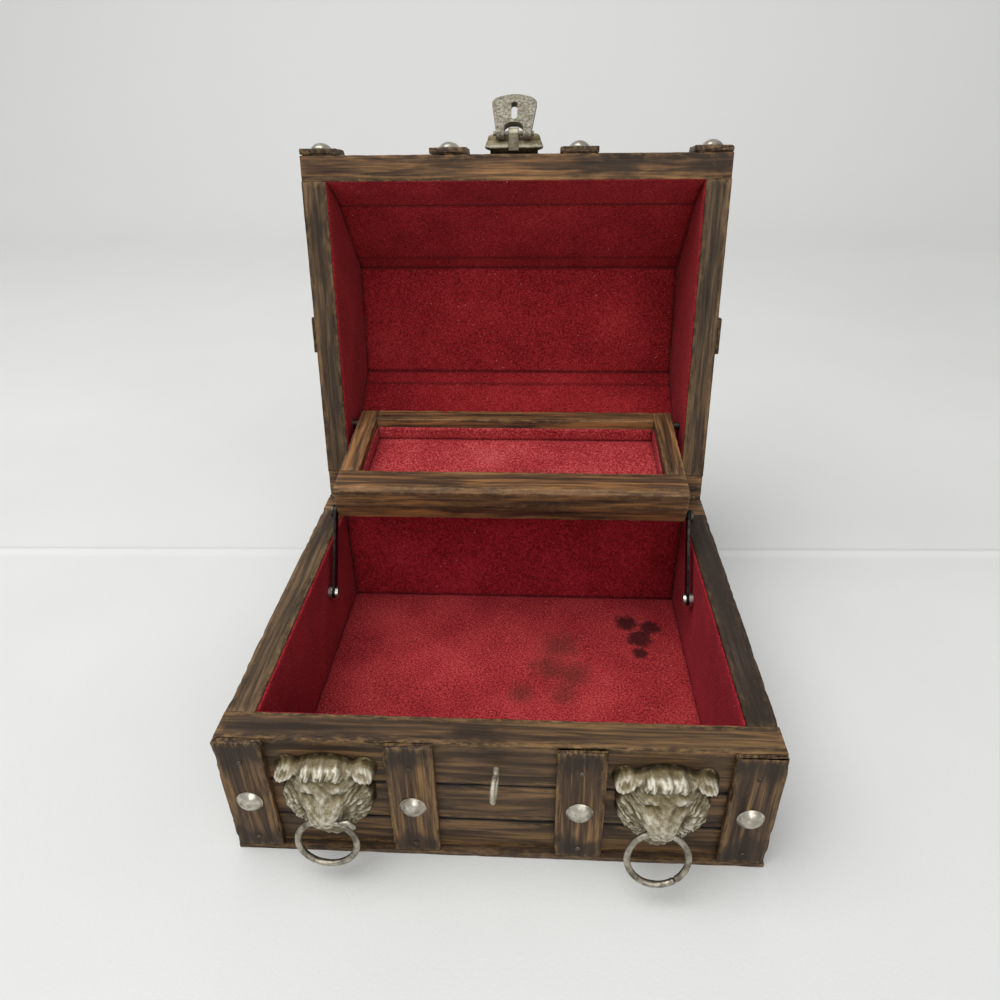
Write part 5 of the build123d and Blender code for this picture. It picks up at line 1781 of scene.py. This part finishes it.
@dataclass
class Studio:
    """Pale sweep, soft lights and the camera at the photograph's place.

    The focal length and the picture's width are in the photograph's pixels. The sensor, the eye and the
    fold are in millimetres, and the angles in degrees.
    """

    focal: float = 755.7
    picture: float = 1000.0
    sensor: float = 36.0
    yaw: float = -3.46
    pitch: float = 30.65
    roll: float = -0.93
    eye: Triple = (12.68, -238.36, 237.95)
    fold: float = 106.3
    fold_slope: float = 0.0272

    def camera(self) -> None:
        """Places the camera: looking along yaw and pitch, then rolled about its own axis."""
        yaw, pitch, roll = (math.radians(v) for v in (self.yaw, self.pitch, self.roll))
        ahead = np.array([math.sin(yaw) * math.cos(pitch), math.cos(yaw) * math.cos(pitch), -math.sin(pitch)])
        right = np.array([math.cos(yaw), -math.sin(yaw), 0.0])
        up = np.cross(right, ahead)
        across = math.cos(roll) * right + math.sin(roll) * up
        upward = -math.sin(roll) * right + math.cos(roll) * up
        data = bpy.data.cameras.new("camera")
        data.sensor_width = self.sensor
        data.sensor_fit = "HORIZONTAL"
        data.lens = self.sensor * self.focal / self.picture
        data.clip_start, data.clip_end = 0.01, 20.0
        camera = bpy.data.objects.new("camera", data)
        bpy.context.scene.collection.objects.link(camera)
        matrix = np.eye(4)
        matrix[:3, 0], matrix[:3, 1], matrix[:3, 2] = across, upward, -ahead
        matrix[:3, 3] = np.array(self.eye) * MM
        camera.matrix_world = Matrix(matrix.tolist())
        bpy.context.scene.camera = camera

    def sweep(self) -> None:
        """A pale cloth floor that curves up far behind, with a low fold just behind the box, and painted
        light that makes its colour lighter further back.
        """
        graph = Graph("white_cloth_sweep", Coordinates.OBJECT)
        cloud = graph.add("TexNoise", {"Vector": graph.place, "Scale": 6.0, "Detail": 4.0}).outputs["Fac"]
        depth = graph.add("SeparateXYZ", {0: graph.place}).outputs["Y"]
        # Painted light: the cloth's colour is mixed towards a lighter grey from 0.15 m to 1.5 m behind the
        # middle.
        far = graph.add("MapRange", {"Value": depth, "From Min": 0.15, "From Max": 1.5}).outputs["Result"]
        fine = graph.add("TexNoise", {"Vector": graph.place, "Scale": 900.0, "Detail": 3.0}).outputs["Fac"]
        material = graph.shade({
            "Base Color": graph.tint(far, graph.ramp(cloud, (0.3, "#cbccca"), (0.7, "#d1d2d0")), "#e3e3e2"),
            "Normal": graph.bump(fine, 0.2, 0.4),
            "Roughness": 0.8,
        })
        spans = ((-3000, 95, 60), (97, 130, 34), (135, 900, 40))
        flat = np.concatenate([np.linspace(*span) for span in spans])
        bend = np.radians(np.linspace(0, 90, 30))[1:]
        fold = 1.6 * np.exp(-(((flat - self.fold) / 2.6) ** 2)) - 0.05
        y = np.concatenate([flat, 900 + 600 * np.sin(bend), np.full(6, 1500.0)])
        z = np.concatenate([fold, 600 * (1 - np.cos(bend)), 600 + np.linspace(300, 2600, 6)])
        x = np.linspace(-3000, 3000, 61)
        across = np.repeat(x[:, None], len(y), 1)
        grid = np.stack([across, y + across * self.fold_slope, np.repeat(z[None], len(x), 0)], -1)
        data = bpy.data.meshes.new("sweep")
        data.from_pydata((grid.reshape(-1, 3) * MM).tolist(), [], grid_faces(len(x), len(y), False).tolist())
        data.polygons.foreach_set("use_smooth", np.full(len(data.polygons), True))
        data.materials.append(material)
        floor = bpy.data.objects.new("sweep", data)
        bpy.context.scene.collection.objects.link(floor)

    def lights(self) -> None:
        """A large soft light above and to the left, a weaker one in front, and a pale world."""
        for name, at, size, power, aim in (
            ("key", (-0.45, -0.2, 1.3), 1.2, 15.5, (0, 0.0, 0.05)),
            ("front", (0.35, -1.3, 0.9), 1.2, 8.0, (0, 0, 0.08)),
        ):
            data = bpy.data.lights.new(name, "AREA")
            data.size = size
            data.energy = power
            lamp = bpy.data.objects.new(name, data)
            bpy.context.scene.collection.objects.link(lamp)
            away = np.array(at) - np.array(aim)
            away /= np.linalg.norm(away)
            side = np.cross([0, 0, 1], away)
            side /= np.linalg.norm(side)
            matrix = np.eye(4)
            matrix[:3, 0], matrix[:3, 1], matrix[:3, 2], matrix[:3, 3] = side, np.cross(away, side), away, at
            lamp.matrix_world = Matrix(matrix.tolist())
        world = bpy.data.worlds.new("studio")
        bpy.context.scene.world = world
        world.use_nodes = True
        back = world.node_tree.nodes["Background"]
        back.inputs["Color"].default_value = (1, 1, 1, 1)
        back.inputs["Strength"].default_value = 0.55
        bpy.context.scene.view_settings.view_transform = "Standard"


def main() -> None:
    """Builds every sub-assembly in order and dresses it."""
    logging.basicConfig(level=logging.INFO, format="%(message)s")
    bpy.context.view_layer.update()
    board = SingedPine("singed_pine_boards").material()
    front = SingedPine(
        "golden_pine_front", middle="#463524", light="#755838", wear_level=0.8, scorch_level=0.45
    ).material()
    sides = SingedPine("singed_pine_sides", middle="#443627", light="#6c543a", scorch_level=0.6).material()
    # Darker copy of the side wood for the right board, which faces away from the key light: its darker tones
    # are painted shade, laid over heavier scorch patches.
    scorched_and_shaded = SingedPine(
        "scorched_pine_side_painted_shade", middle="#2c2420", light="#42352b", scorch_level=1.1, wear_level=0.2
    ).material()
    strap = SingedPine("singed_pine_straps", middle="#493625", light="#84643c", end_scorch=0.9).material()
    rail = SingedPine("stained_pine_tray", middle="#573e2a", light="#94693f", scorch_level=0.3).material()
    ply = SingedPine("raw_ply_bottom", middle="#3b2e23", light="#5c4836", scorch_level=0.3).material()
    felt = CrimsonFelt("crimson_felt").material()
    lid_felt = CrimsonFelt("crimson_felt_lid", deep="#550a0f", ground="#86191e", bright="#a53034").material()
    tray_felt = CrimsonFelt(
        "crimson_felt_tray",
        deep="#6a1219",
        ground="#9f2c31",
        bright="#c65f5f",
        brown_blots=((-16, 57, 70.4, 16), (10, 58, 70.4, 16), (28, 60, 70.6, 11)),
    ).material()
    stained = CrimsonFelt(
        "crimson_felt_stained",
        ground="#98282d",
        bright="#ba4748",
        brown_blots=(
            (23, 27, 2.6, 14), (17, 13, 2.6, 11), (28, 9, 2.6, 13), (24, -3, 2.6, 9), (6, -3, 2.6, 8),
        ),
        black_blots=((60, 34, 2.6, 10), (59.5, 24, 2.6, 6), (55, 45, 2.6, 9), (66, 42, 2.6, 8)),
    ).material()
    casting = AntiqueCasting().material()
    ring_steel = PlatedSteel("worn_ring_steel", Coordinates.GRAIN, "#b3ac9d", "#6a6256", 0.34).material()
    nickel = PlatedSteel("nickel_plated_nails", Coordinates.GRAIN, "#c9c3b6", "#8a8172", 0.28).material()
    steel = PlatedSteel("dull_steel_pins", Coordinates.GRAIN, "#6a6258", "#2e2a26", 0.5).material()
    base = BaseBox()
    base.front_board(front)
    base.other_boards(board, [sides, scorched_and_shaded], ply)
    base.straps(strap)
    base.linings(stained, felt)
    base.nails(nickel, steel)
    LionMask().build(casting)
    RingPulls().build(ring_steel)
    ScrewEye().build(casting)
    lid = Lid()
    lid.boards(board, sides)
    lid.straps(strap)
    lid.nails(nickel, steel)
    lid.linings(lid_felt)
    HaspPlate().build(casting)
    tray = Tray()
    tray.boards(rail, ply)
    tray.linings(tray_felt)
    pewter = PlatedSteel(
        "pewter_hasp", metal="#928d80", dull="#6b6557", roughness=0.55, smudge=1.1, grit=0.16
    )
    for finish, nodes in (
        (pewter, ("hasp_pin", "hasp_tongue")),
        (
            PlatedSteel("blackened_steel_arms", metal="#3a3633", dull="#1c1a19", roughness=0.42),
            ("arm_left", "arm_right"),
        ),
        (
            PlatedSteel("zinc_plated_screws", metal="#c4c2bc", dull="#8d8a84", roughness=0.3),
            ("arm_foot_screws", "arm_foot_washers"),
        ),
        (
            PlatedSteel("tarnished_steel_pins", metal="#5a544b", dull="#2a2723", roughness=0.5),
            ("arm_tray_pins", "tray_rear_pins"),
        ),
        (
            PlatedSteel("antique_plated_hinges", metal="#8d8471", dull="#4b4335", roughness=0.42),
            ("base_hinge_leaves", "lid_hinge_leaves", "hinge_pins", "base_hinge_screws", "lid_hinge_screws"),
        ),
    ):
        Hardware(finish, nodes).dress()
    studio = Studio()
    studio.sweep()
    studio.lights()
    studio.camera()


if __name__ == "__main__":
    main()
